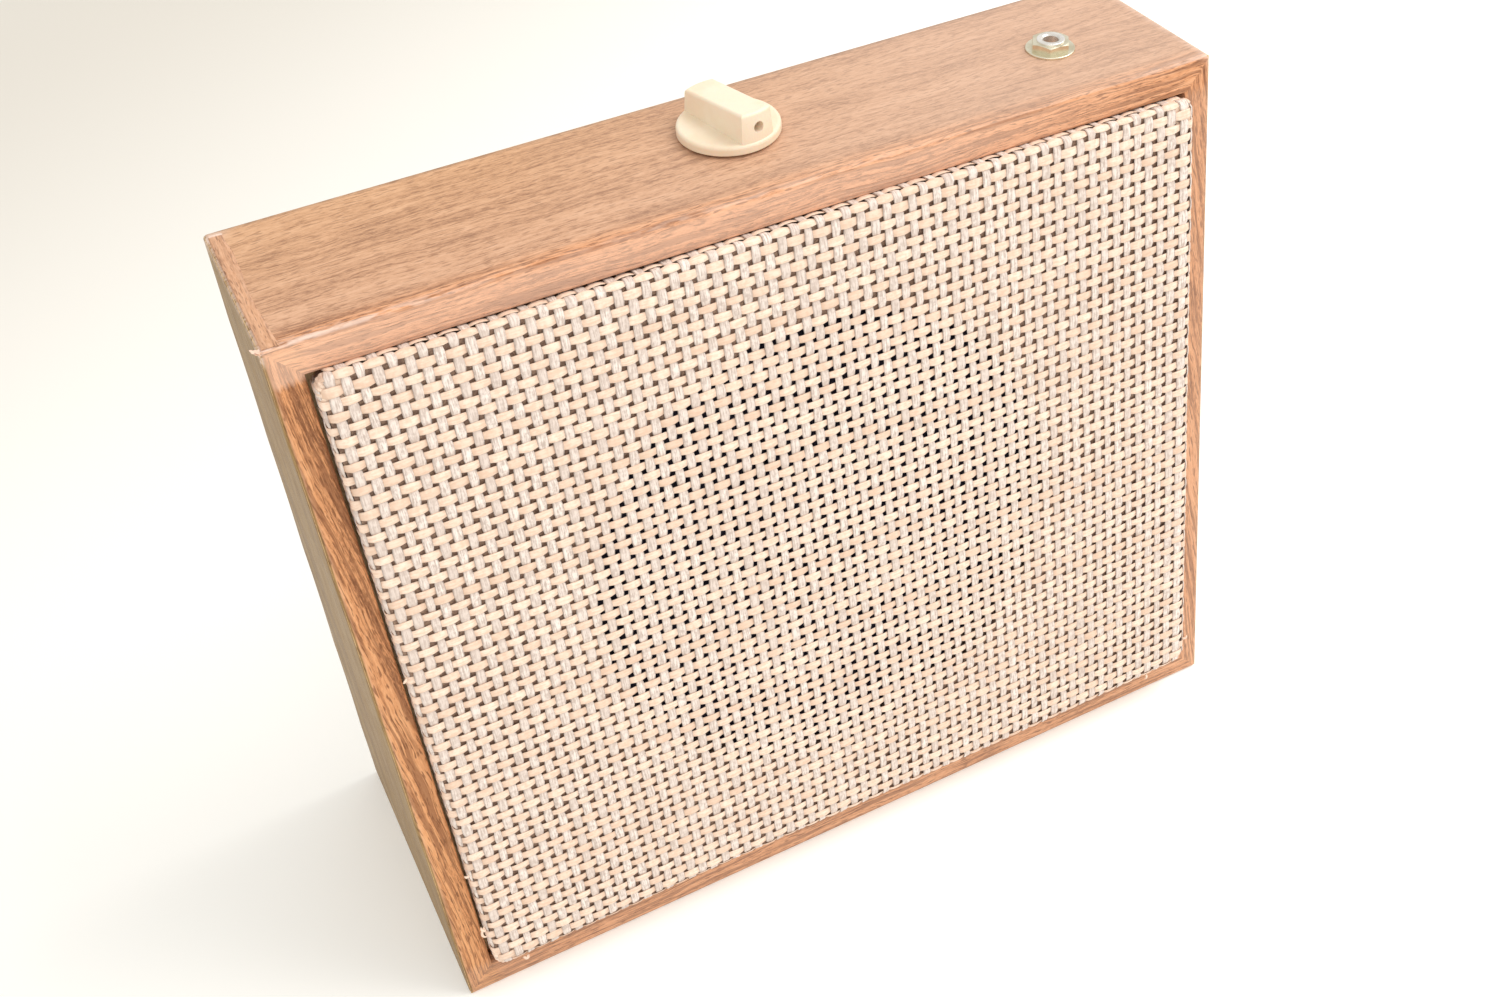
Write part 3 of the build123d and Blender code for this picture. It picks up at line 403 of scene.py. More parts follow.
def make_cone_paper():
    """Black felted paper with fine fibres and faint rings about the loudspeaker's axis."""
    material, n, shader = blank_material("cone_paper", **{"Specular_IOR_Level": 0.2})
    place = n.tree.nodes.new("ShaderNodeTexCoord").outputs["Object"]
    middle = (low("speaker_cone") + high("speaker_cone")) / 2
    turned = n.add("ShaderNodeMapping", Vector=place, Location=tuple(-middle)).outputs[0]
    split = n.add("ShaderNodeSeparateXYZ", Vector=turned)
    reach = n.maths("SQRT", n.maths("ADD", n.maths("POWER", split.outputs[0], 2.0),
                                    n.maths("POWER", split.outputs[2], 2.0)))
    rings = n.maths("PINGPONG", reach, 0.0035)
    felt = n.noise(place, 1400.0, 3.0, 0.7)
    n.feed(shader, "Base Color", n.mix(n.between(felt, 0.35, 0.7), rgb(40, 38, 52), rgb(74, 68, 86)))
    n.feed(shader, "Roughness", n.maths("ADD", n.maths("MULTIPLY", felt, 0.2), 0.7))
    height = n.maths("ADD", n.maths("MULTIPLY", rings, 200.0), n.maths("MULTIPLY", felt, 0.3))
    bump(n, shader, height, 0.00020)
    return material


def make_circuit_board():
    """Phenolic board: brown sheet with paler fibres and dark printed tracks under the varnish."""
    material, n, shader = blank_material("phenolic_board", **{"Coat_Weight": 0.4})
    place = n.tree.nodes.new("ShaderNodeTexCoord").outputs["Object"]
    fibres = n.noise(n.stretch(place, (200, 1500, 200)), 1.0, 3.0)
    cells = n.tree.nodes.new("ShaderNodeTexVoronoi")
    cells.feature = "DISTANCE_TO_EDGE"
    n.feed(cells, "Vector", place)
    n.feed(cells, "Scale", 160.0)
    track = n.between(cells.outputs[0], 0.10, 0.13)
    colour = n.mix(n.between(fibres, 0.35, 0.65), rgb(120, 78, 38), rgb(156, 106, 56))
    n.feed(shader, "Base Color", n.mix(n.maths("MULTIPLY", track, 0.35), colour, rgb(84, 62, 30)))
    n.feed(shader, "Roughness", n.maths("ADD", n.maths("MULTIPLY", fibres, 0.2), 0.3))
    bump(n, shader, track, 0.00005)
    return material


def make_banded(name, axis, base, bands, spacing, width):
    """A small moulded body with printed rings every spacing along one axis."""
    material, n, shader = blank_material(name, **{"Coat_Weight": 0.2})
    place = n.tree.nodes.new("ShaderNodeTexCoord").outputs["Object"]
    split = n.add("ShaderNodeSeparateXYZ", Vector=place)
    stripe = n.between(n.maths("PINGPONG", split.outputs[axis], spacing), spacing - width,
                       spacing - width * 0.8)
    look = use_group(n, wear_group, Vector=place, Colour=rgb(*base), Worn_colour=rgb(*base),
                     Size=600.0, Smooth=0.3, Rough=0.55, Wear=0.2)
    n.feed(shader, "Base Color", n.mix(stripe, look.outputs["Colour"], rgb(*bands)))
    n.feed(shader, "Roughness", look.outputs["Roughness"])
    bump(n, shader, look.outputs["Height"], 0.00003)
    return material


def make_finishes():
    """Every finish by its name."""
    metal = {"Metallic": 1.0}
    plywood_x = make_plywood("plywood_sides", 0)
    plywood_z = make_plywood("plywood_flats", 2)
    return {
        "vinyl": make_vinyl(),
        "warp": make_strand("warp_strand", (247, 234, 224), (196, 178, 166), (212, 194, 182)),
        "weft": make_strand("weft_strand", (253, 230, 210), (236, 204, 180), (220, 186, 160)),
        "plywood_x": plywood_x,
        "plywood_z": plywood_z,
        "hardboard": make_hardboard("hardboard", (112, 94, 78), (168, 144, 120), (122, 98, 76)),
        "stained_board": make_hardboard("stained_board", (116, 90, 76), (160, 132, 112), (124, 98, 80)),
        "cone_paper": make_cone_paper(),
        "circuit": make_circuit_board(),
        "ivory": handled("ivory_plastic", (242, 226, 202), (232, 208, 176), (0.28, 0.48), 260.0,
                         0.45, 0.00003, Subsurface_Weight=0.12, Subsurface_Scale=0.003),
        "nickel": handled("nickel_plate", (232, 226, 204), (190, 176, 142), (0.20, 0.38), 700.0,
                          0.5, 0.000008, **metal),
        "bright_nickel": handled("polished_bushing", (236, 233, 228), (204, 198, 188), (0.18, 0.34),
                                 700.0, 0.5, 0.000006, Metallic=0.75),
        "zinc": handled("zinc_plate", (186, 186, 182), (140, 138, 130), (0.3, 0.55), 500.0, 0.5,
                        0.00004, **metal),
        "frame_steel": handled("speaker_frame", (150, 146, 120), (112, 104, 80), (0.35, 0.6), 300.0,
                               0.6, 0.00005, **metal),
        "brass": handled("turned_brass", (208, 172, 104), (150, 116, 66), (0.25, 0.5), 700.0, 0.5,
                         0.00003, **metal),
        "cans": handled("drawn_cans", (200, 200, 202), (150, 150, 154), (0.25, 0.5), 700.0, 0.4,
                        0.00003, **metal),
        "copper": handled("enamelled_wire", (176, 92, 50), (128, 60, 34), (0.25, 0.45), 2400.0,
                          0.6, 0.00008, Metallic=0.6),
        "ferrite": handled("ferrite", (52, 52, 56), (78, 76, 78), (0.45, 0.75), 500.0, 0.5,
                           0.00008),
        "black": handled("black_moulding", (26, 26, 27), (58, 57, 56), (0.35, 0.6), 400.0, 0.35,
                         0.00004),
        "socket": handled("jack_moulding", (76, 74, 92), (110, 106, 124), (0.3, 0.5), 500.0, 0.5,
                          0.00004),
        "cork": handled("pressed_cork", (150, 112, 76), (98, 68, 44), (0.7, 0.9), 1400.0, 0.9,
                        0.00015),
        "spider": handled("dipped_cloth", (166, 124, 62), (120, 84, 40), (0.5, 0.8), 2200.0, 0.8,
                          0.00012),
        "disc": handled("dipped_ceramic", (196, 138, 74), (160, 104, 54), (0.35, 0.55), 900.0, 0.6,
                        0.00005),
        "core": handled("transformer_core", (62, 62, 64), (104, 96, 70), (0.4, 0.65), 800.0, 0.7,
                        0.00010),
        "lead": handled("lead_covering", (172, 40, 34), (120, 26, 24), (0.3, 0.5), 500.0, 0.4,
                        0.00003),
        "sleeve": make_banded("capacitor_sleeve", 0, (34, 58, 110), (206, 206, 210), 0.0065, 0.0007),
        "resistor": make_banded("resistor_body", 0, (150, 104, 66), (186, 52, 32), 0.0024, 0.0006),
        "battery": make_banded("battery_case", 1, (46, 60, 92), (196, 160, 72), 0.0180, 0.0030),
    }


finishes = make_finishes()

worn_by = {
    "plywood_x": ["left_side_board", "right_side_board", "baffle_battens", "corner_blocks"],
    "plywood_z": ["top_board", "bottom_board"],
    "hardboard": ["rear_cover"],
    "stained_board": ["baffle_board"],
    "cone_paper": ["speaker_cone", "dust_cap", "cone_surround"],
    "circuit": ["circuit_board", "speaker_tag_strip"],
    "ivory": ["volume_knob"],
    "bright_nickel": ["jack_bushing"],
    "nickel": ["jack_washer", "jack_nut", "jack_tip_spring", "jack_switch_contact"],
    "zinc": ["baffle_screws", "cloth_staples", "magnet_top_plate", "magnet_yoke", "speaker_screws",
             "volume_control_body", "volume_washer", "board_screws", "battery_clip", "cover_screws"],
    "frame_steel": ["speaker_basket"],
    "brass": ["volume_bushing", "volume_shaft", "volume_nut", "knob_grub_screw", "board_pillars",
              "preset_spindle"],
    "cans": ["if_transformers", "transistors"],
    "copper": ["voice_coil", "aerial_coil"],
    "ferrite": ["speaker_magnet", "ferrite_rod"],
    "socket": ["jack_body"],
    "black": ["power_switch", "rod_holders", "preset_capacitor", "battery_connector"],
    "cork": ["speaker_gasket"],
    "spider": ["spider"],
    "disc": ["disc_capacitors"],
    "core": ["audio_transformers"],
    "lead": ["speaker_leads", "battery_leads", "control_leads"],
    "sleeve": ["electrolytic_capacitors"],
    "resistor": ["resistors"],
    "battery": ["battery"],
}
for finish, nodes_worn in worn_by.items():
    for node in nodes_worn:
        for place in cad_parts[node].material_slots:
            place.material = finishes[finish]


# ------------------------------------------------------------------ mesh tools
def grid_faces(rows, columns, wrap_rows=False, wrap_columns=False):
    """Quads over a rows by columns grid of points, as indices, wrapped where asked."""
    r = np.arange(rows if wrap_rows else rows - 1)
    c = np.arange(columns if wrap_columns else columns - 1)
    r, c = np.meshgrid(r, c, indexing="ij")
    r2 = (r + 1) % rows
    c2 = (c + 1) % columns
    return np.stack([r * columns + c, r2 * columns + c, r2 * columns + c2, r * columns + c2],
                    -1).reshape(-1, 4)


def new_piece(name, points, faces, material, body="cabinet", caps=None):
    """A mesh piece from arrays of points and faces, smooth shaded, riding on a body."""
    mesh = bpy.data.meshes.new(name)
    end_faces = [] if caps is None else caps.tolist()
    mesh.from_pydata(points.reshape(-1, 3).tolist(), [], faces.tolist() + end_faces)
    mesh.polygons.foreach_set("use_smooth", np.ones(len(mesh.polygons), bool))
    mesh.materials.append(material)
    piece = bpy.data.objects.new(name, mesh)
    bpy.context.collection.objects.link(piece)
    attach(piece, body)
    return piece


def point_values(piece, name, values):
    layer = piece.data.attributes.new(name, "FLOAT", "POINT")
    layer.data.foreach_set("value", np.ascontiguousarray(values.reshape(-1), dtype=np.float32))


def thicken(piece, thickness, offset=-1):
    """Thickness for a single surface, inwards unless offset says otherwise."""
    solid = piece.modifiers.new("thickness", "SOLIDIFY")
    solid.thickness = thickness
    solid.offset = offset


def corner_uv(piece, name, uv):
    layer = piece.data.uv_layers.new(name=name)
    layer.data.foreach_set("uv", np.ascontiguousarray(uv.reshape(-1), dtype=np.float32))


# ------------------------------------------------------------------ vinyl covering
def cover_cabinet():
    """The vinyl over the boards: a profile from the rear edge, round the front outer edge, over
    the rim and into the opening, carried round a rectangle with small round corners. At inset d
    the rectangle shrinks by d all round; Y is the sloping front's Y at that height plus h."""
    fold = 1.0 * mm
    lip = 0.5 * mm
    rim = wall + skin
    lengthwise = np.linspace(1, 0, 34)[:-1]
    bend = np.radians(np.linspace(0, 90, 7))
    inner = np.radians(np.linspace(0, 90, 4))
    inset = np.concatenate([0 * lengthwise, fold - fold * np.cos(bend),
                            np.linspace(fold, rim - lip, 9)[1:-1],
                            rim - lip + lip * np.sin(inner), [rim, rim]])
    depth = np.concatenate([0 * lengthwise + fold, fold - fold * np.sin(bend), np.zeros(7),
                            lip - lip * np.cos(inner), [2 * mm, 4.1 * mm]])
    to_back = np.concatenate([lengthwise, np.zeros(len(inset) - len(lengthwise))])
    along_x = np.linspace(-1, 1, 145)
    along_z = np.linspace(-1, 1, 115)
    arc = np.radians(np.linspace(0, 90, 6))[1:-1]
    middle = height / 2
    rounded = np.maximum(fold - inset, 0.2 * mm)[:, None]
    reach_x = (half_width - inset)[:, None] - rounded
    reach_z = (middle - inset)[:, None] - rounded
    parts_x, parts_z, band = [], [], []
    for turn, (sx, sz) in enumerate([(1, 1), (1, -1), (-1, -1), (-1, 1)]):
        steps = along_x if turn % 2 == 0 else along_z
        # the straight run before this corner, then the corner's arc
        if turn == 0:
            parts_x.append(reach_x * steps)
            parts_z.append(np.ones_like(steps) * (reach_z + rounded))
        elif turn == 1:
            parts_x.append(np.ones_like(steps) * (reach_x + rounded))
            parts_z.append(-reach_z * steps)
        elif turn == 2:
            parts_x.append(-reach_x * steps)
            parts_z.append(-np.ones_like(steps) * (reach_z + rounded))
        else:
            parts_x.append(-np.ones_like(steps) * (reach_x + rounded))
            parts_z.append(reach_z * steps)
        start = (math.pi / 2, 0, -math.pi / 2, math.pi)[turn]
        parts_x.append(sx * reach_x + rounded * np.cos(start - arc))
        parts_z.append(sz * reach_z + rounded * np.sin(start - arc))
        band += [turn] * len(steps) + [turn + 0.5] * len(arc)
    x = np.concatenate(parts_x, 1)
    z = np.concatenate(parts_z, 1) + middle
    band = np.array(band)
    front = front_y(z)
    y = front + depth[:, None]
    y = y + to_back[:, None] * (back - y)
    ripple = 0.12 * mm * np.sin(z * 95 + 1.3) * (np.abs(x) > half_width - 2 * mm)
    x = x - np.sign(x) * np.abs(ripple) * (inset[:, None] < rim - mm)
    points = np.stack([x, y, z], -1)
    rows, columns = x.shape
    faces = grid_faces(rows, columns, wrap_columns=True)
    piece = new_piece("vinyl_covering", points, faces, finishes["vinyl"])
    # UV: first axis along the grain, second across it, both in metres
    cross = np.zeros((rows, columns))
    step = np.linalg.norm(np.diff(points, axis=0), axis=2)
    cross[1:] = np.cumsum(step, 0)
    grain_side = (np.floor(band + 0.25) % 4).astype(int)
    face_column = np.tile(np.arange(columns), rows - 1)
    side_of_face = grain_side[face_column]
    flat_points = points.reshape(-1, 3)
    corner = faces.reshape(-1)
    along = np.where(np.repeat(side_of_face % 2 == 0, 4), flat_points[corner, 0],
                     flat_points[corner, 2] / math.cos(tilt))
    shift = np.repeat(side_of_face, 4)
    slant = 0.30 * along * (shift == 3)
    uv = np.stack([along + 0.37 * shift, cross.reshape(-1)[corner] + 0.21 * shift + slant], -1)
    corner_uv(piece, "grain", uv)
    on_rim = np.clip((inset - 0.2 * fold) / fold, 0, 1)[:, None] * np.ones(columns)
    from_fold = to_back[:, None] * (back - front)
    carried = np.clip(1 - from_fold / (4.5 * mm), 0, 1) * (z > height - fold) * (inset < fold)[:, None]
    point_values(piece, "rim", np.maximum(on_rim, carried))
    # painted shade on the side faces: full on the left, 0.3 of it on the right
    flank = (np.abs(x) > half_width - 0.8 * mm) & (inset[:, None] < 0.6 * mm)
    point_values(piece, "shade", flank * np.where(x < 0, 1.0, 0.3))
    point_values(piece, "glow", on_rim * (z > height - rim - mm) * (x < half_width - rim)
                 * np.clip(1.6 - 1.7 * x / half_width, 0, 1))
    over_top = (z > height - 0.3 * mm) & (inset[:, None] < 0.6 * mm)
    # the right and bottom rims made greyer and paler
    greyer_rims = 0.55 * on_rim * ((x > half_width - rim - mm) | (z < rim + mm)) * (z < height - rim)
    point_values(piece, "cool", np.maximum(over_top * np.clip(0.45 + x / half_width, 0, 1), greyer_rims))
    on_left = (x < mm - half_width + rim) * on_rim
    toward_back = over_top * to_back[:, None] * np.clip(0.6 - x / half_width, 0, 1)
    point_values(piece, "deep", np.maximum(on_left * np.clip(1.25 - z / height, 0.7, 1),
                                           0.9 * toward_back))
    at_front = (depth < 1.01 * mm)[:, None] & (to_back[:, None] < 0.02)
    fold_line = np.exp(-((inset - 0.2 * mm) / (0.35 * mm)) ** 2)[:, None] * at_front
    place = (x + half_width) / (2 * half_width)
    streak = (np.clip(1.25 - place / 0.2, 0, 1) + 0.35 * np.exp(-((place - 0.45) / 0.2) ** 2)
              + 0.4 * np.exp(-((place - 1.0) / 0.1) ** 2))
    rubbed = fold_line * streak * (z > height - 3 * mm)
    near_corner = np.exp(-(((np.abs(x) - half_width) / (1.2 * mm)) ** 2
                           + ((z - height) / (1.2 * mm)) ** 2))
    back_corner = np.exp(-((x + half_width) ** 2 + (y - back) ** 2 + (z - height) ** 2)
                         / (3 * mm) ** 2)
    point_values(piece, "rubbed", np.clip(rubbed + 0.7 * near_corner + 1.5 * back_corner, 0, 1))
    thicken(piece, 0.25 * mm)
    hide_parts("vinyl_wrap", "vinyl_base")


def turn_over_side():
    """The side's vinyl turned over the left end of the top: a thin strip whose cut edge wanders,
    z = top + t (1 - edge^4), lying along the left edge and dying out at the front fold."""
    steps, lanes = 140, 9
    along = np.linspace(0.02, 0.985, steps)
    across = np.linspace(0, 1, lanes)
    y = top_front + 0.4 * mm + along * (back - top_front - 0.8 * mm)
    reach = (3.0 + 0.30 * np.sin(along * 9 + 1) + 0.08 * np.sin(along * 33)) * mm
    x = -half_width + 0.9 * mm + across[None] * reach[:, None]
    lift = 0.12 * mm * (1 - across[None] ** 4) + 0.02 * mm + 0.02 * mm * np.sin(along * 40)[:, None]
    z = height + lift * (across[None] < 0.999) - 0.02 * mm * (across[None] > 0.999)
    points = np.stack([x, np.repeat(y[:, None], lanes, 1), z], -1)
    faces = grid_faces(steps, lanes)
    strip = new_piece("turned_over_strip", points, faces, finishes["vinyl"])
    uv = np.stack([points[..., 1] * 1.0 + 0.9, points[..., 0]], -1).reshape(-1, 2)
    corner_uv(strip, "grain", uv[faces.reshape(-1)])
    for label, value in (("rim", 0.25), ("shade", 0.0), ("glow", 0.0), ("deep", 0.2), ("cool", 0.0)):
        point_values(strip, label, np.full((steps, lanes), value))
    worn_edge = 0.10 * (across[None] > 0.85)
    point_values(strip, "rubbed", np.maximum(worn_edge, (along > 0.965)[:, None]))
    thicken(strip, 0.1 * mm, 1)


def fray_corner():
    """A small curled flap of worn vinyl at the top left front corner: a leaf whose width tapers
    as the square root of what is left of its length, curling up along it."""
    t = np.linspace(0, 1, 16)
    w = np.linspace(-1, 1, 7)
    corner = np.array([-half_width + 0.6 * mm, top_front + 1.0 * mm, height + 0.02 * mm])
    for name, turn, length, width, curl in (("worn_flap", 3.0, 3.2, 1.1, 0.8),
                                            ("worn_flap_small", 3.7, 2.0, 0.6, 0.5)):
        out = np.array([math.cos(turn), math.sin(turn), 0.0])
        side_on = np.array([-math.sin(turn), math.cos(turn), 0.0])
        spread = width * mm * np.sqrt(1.02 - t) * (1 + 0.15 * np.sin(t * 17))
        spot = (corner + out * (t * length * mm * 0.55)[:, None, None]
                + side_on * (w[None] * spread[:, None])[..., None])
        spot[..., 2] += (curl * mm * t ** 2)[:, None] + 0.15 * mm * np.cos(w * 2)[None]
        faces = grid_faces(len(t), len(w))
        flap = new_piece(name, spot, faces, finishes["vinyl"])
        uv = np.stack([spot[..., 0], spot[..., 1]], -1).reshape(-1, 2)
        corner_uv(flap, "grain", uv[faces.reshape(-1)])
        for label, value in (("rim", 0.5), ("shade", 0.0), ("glow", 1.0), ("rubbed", 0.8),
                             ("deep", 0.0), ("cool", 0.0)):
            point_values(flap, label, np.full((len(t), len(w)), value))
        thicken(flap, 0.15 * mm)


# ------------------------------------------------------------------ woven front
panel_half = high("grille_cloth")[0]
proud = 4.0 * mm
cloth_thick = panel_half - high("baffle_board")[0]
board_proud = proud - cloth_thick
baffle_thick = 6.4 * mm
panel_back = baffle_thick - board_proud + cloth_thick
panel_bottom = (low("grille_cloth")[2] + panel_back * math.sin(tilt)) / math.cos(tilt)
panel_top = (high("grille_cloth")[2] - proud * math.sin(tilt)) / math.cos(tilt)
panel_middle = (panel_bottom + panel_top) / 2
panel_half_height = (panel_top - panel_bottom) / 2
column_pitch = 3.05 * mm
row_pitch = 2.74 * mm
panel_corner = 3.0 * mm
edge_round = 1.5 * mm
turn_down = 6.0 * mm


def corner_cut(beyond):
    """How far a round corner cuts back an edge, at a distance beyond where the corner starts."""
    inside = np.clip(beyond, 0, panel_corner * 0.98)
    return panel_corner - np.sqrt(panel_corner ** 2 - inside ** 2)


def over_edge(a, half):
    """A coordinate on the cloth carried over a rounded edge: where it lies, how far it has
    dropped, and the angle that the surface has turned by."""
    flat = half - edge_round
    angle = np.clip((np.abs(a) - flat) / edge_round, 0, math.pi / 2)
    lateral = np.sign(a) * (np.minimum(np.abs(a), flat) + edge_round * np.sin(angle))
    drop = edge_round * (1 - np.cos(angle)) + np.maximum(np.abs(a) - flat
                                                         - edge_round * math.pi / 2, 0)
    return lateral, drop, angle * np.sign(a)


def on_cloth(p, q, rise):
    """The point at p across and q up the cloth, rise above its middle surface. The panel's
    outline has round corners and slightly bowed edges, and bulges over the right and top rims."""
    bow = 0.35 * mm * np.sin(p * 21 + 0.6) * (q < 0) + 0.18 * mm * np.sin(p * 43)
    snug = 1 - 0.65 * (p > 0) * (q > 0)
    half_p = (panel_half - 0.30 * mm + 0.30 * mm * (p > 0)
              - snug * corner_cut(np.abs(q) - (panel_half_height - panel_corner)))
    half_q = (panel_half_height - 0.30 * mm + 0.15 * mm * (q > 0) + bow
              - snug * corner_cut(np.abs(p) - (panel_half - panel_corner)))
    lateral, drop_p, angle_p = over_edge(p, half_p)
    rising, drop_q, angle_q = over_edge(q, half_q)
    lateral = lateral + 0.50 * mm * (np.clip((p - half_p) / (6 * mm) + 1, 0, 1)
                                     * np.clip(1 - drop_p / (3 * mm), 0, 1))
    rising = rising + 0.35 * mm * (np.clip((q - half_q) / (6 * mm) + 1, 0, 1)
                                   * np.clip(1 - drop_q / (3 * mm), 0, 1))
    slack = 0.10 * mm * np.sin(p * 60 + q * 35) * np.cos(q * 50 - p * 22)
    level = board_proud + 0.45 * mm + slack - drop_p - drop_q
    toward = np.stack([np.sin(angle_p), np.sin(angle_q), np.cos(angle_p) * np.cos(angle_q)], -1)
    toward = toward / np.linalg.norm(toward, axis=-1, keepdims=True)
    spot = np.stack([lateral, rising + panel_middle, level], -1) + toward * rise[..., None]
    return on_slope(spot)


def weave_strands(name, lengthwise, count, pitch, crossing, reach, other_reach, width, thick, sway,
                  section, material):
    """Strands of one direction as closed tubes. Strand i lies at i pitches and rises and dips as
    the cosine of its crossings, opposite to its neighbours; its section is a flat loop with a
    groove along its top. Positions, widths and waviness vary a little from strand to strand."""
    index = np.arange(count) - (count - 1) // 2
    centre = index * pitch + rng.normal(0, 0.018, count) * pitch
    beyond = np.maximum(np.abs(centre) - (reach - edge_round), 0)
    length = other_reach + turn_down - edge_round - 0.9 * beyond
    last = int((other_reach + turn_down) / crossing) + 1
    places = (np.arange(-last, last + 1)[:, None] + np.array([-0.3, 0.0, 0.3])).reshape(-1)
    along = np.clip(places[None] * crossing, -length[:, None], length[:, None])
    along = along[:, np.abs(places * crossing) < other_reach + turn_down + crossing]
    steps = along.shape[1]
    along = along + np.linspace(-1, 1, steps) * 0.02 * mm
    wave = np.cos(math.pi * along / crossing + math.pi * (index[:, None] + 1))
    wave = np.tanh(1.7 * wave) / math.tanh(1.7)
    drift = sum(amount * mm * np.sin(along * speed + rng.uniform(0, 6.3, (count, 1)))
                for amount, speed in ((0.10, 38.0), (0.05, 95.0), (0.03, 310.0)))
    axis = centre[:, None] + drift
    up = wave * math.copysign(1, sway)
    wide = width * (1 + rng.normal(0, 0.05, (count, 1)) + 0.09 * up
                    + 0.05 * np.sin(along * 700 + rng.uniform(0, 6.3, (count, 1))))
    twist = 0.10 * np.sin(along * 160 + rng.uniform(0, 6.3, (count, 1)))
    tone = np.clip(rng.uniform(0, 1, (count, 1)) * 0.7
                   + 0.3 * np.sin(along * 55 + rng.uniform(0, 6.3, (count, 1))), 0, 1)
    # painted shade: the tone rises where the strand dips under the crossing strands
    tone = np.clip(tone + 0.9 * (0.5 - 0.5 * up) ** 2, 0, 1.5)
    a = section[:, 0] * wide[..., None] / 2
    b = section[:, 1] * thick / 2 + (sway * wave)[..., None] + twist[..., None] * a
    if lengthwise == "q":
        points = on_cloth(axis[..., None] + a, along[..., None] + 0 * a, b)
    else:
        points = on_cloth(along[..., None] + 0 * a, axis[..., None] + a, b)
    sides = len(section)
    tube = grid_faces(steps, sides, wrap_columns=True)
    offsets = (np.arange(count) * steps * sides)[:, None, None]
    faces = (tube[None] + offsets).reshape(-1, 4)
    ring = np.arange(sides)
    near_end = offsets[:, 0] + ring[None]
    far_end = near_end[:, ::-1] + (steps - 1) * sides
    if lengthwise == "q":
        faces, near_end, far_end = faces[:, ::-1], near_end[:, ::-1], far_end[:, ::-1]
    piece = new_piece(name, points, faces, material, caps=np.concatenate([near_end, far_end]))
    face_u = np.stack([ring, ring, ring + 1, ring + 1], -1) / sides
    if lengthwise == "q":
        face_u = face_u[:, ::-1]
    corners = np.concatenate([faces.reshape(-1), near_end.reshape(-1), far_end.reshape(-1)])
    u = np.concatenate([np.tile(face_u[None], (count * (steps - 1), 1, 1)).reshape(-1),
                        corners[faces.size:] % sides / sides])
    v = np.repeat(along[..., None], sides, -1).reshape(-1)[corners]
    strand = corners // (steps * sides)
    corner_uv(piece, "strand", np.stack([u + 1.7 * strand, v + 0.31 * strand], -1))
    point_values(piece, "tone", np.repeat(tone[..., None], sides, -1))
    return piece


def tuck_corners():
    """The folded cloth inside each corner of the panel: rings round the corner from 5 mm inside
    the edge, over it and down the side, with pleats r = 0.12 sin(9 a) lying just off the board."""
    turn = np.linspace(-0.35, math.pi / 2 + 0.35, 90)
    ring = np.linspace(0, 1, 26)
    for sx, sz, name in ((-1, 1, "tuck_top_left"), (1, 1, "tuck_top_right"),
                         (-1, -1, "tuck_bottom_left"), (1, -1, "tuck_bottom_right")):
        run = 7.5 * mm * ring
        flat_run = 3.6 * mm
        bend = np.clip((run - flat_run) / (1.0 * mm), 0, math.pi / 2)
        out = np.minimum(run, flat_run) + 1.0 * mm * np.sin(bend) - 4.6 * mm
        drop = 1.0 * mm * (1 - np.cos(bend)) + np.maximum(run - flat_run - 1.57 * mm, 0)
        pleat = 0.10 * mm * np.sin(turn * 17 + sx + 2 * sz)[None] * (bend > 0.2)[:, None]
        angle = np.clip(turn, 0, math.pi / 2)
        slide = turn - angle
        reach = 2.6 * mm + 0.45 * mm + out[:, None] + pleat
        px = (panel_half - 0.6 * mm - 2.6 * mm + 0.3 * mm * (sx > 0) + reach * np.cos(angle)[None]
              - 9 * mm * np.clip(slide, 0, 1)[None])
        qz = (panel_half_height - 0.6 * mm - 2.6 * mm + reach * np.sin(angle)[None]
              - 9 * mm * np.clip(-slide, 0, 1)[None])
        level = board_proud + 0.12 * mm - drop[:, None] + 0 * turn[None] + 0.5 * pleat
        spot = np.stack([sx * px, sz * qz + panel_middle, level], -1)
        points = on_slope(spot)
        faces = grid_faces(len(ring), len(turn))
        if sx * sz > 0:
            faces = faces[:, ::-1]
        tuck = new_piece(name, points, faces, finishes["weft"])
        uv = np.stack([np.repeat(turn[None] * 4, len(ring), 0),
                       np.repeat(ring[:, None] * 0.02, len(turn), 1)], -1).reshape(-1, 2)
        corner_uv(tuck, "strand", uv[faces.reshape(-1)])
        shading = 0.4 + 0.4 * np.sin(turn * 23)
        point_values(tuck, "tone", np.repeat(shading[None], len(ring), 0))


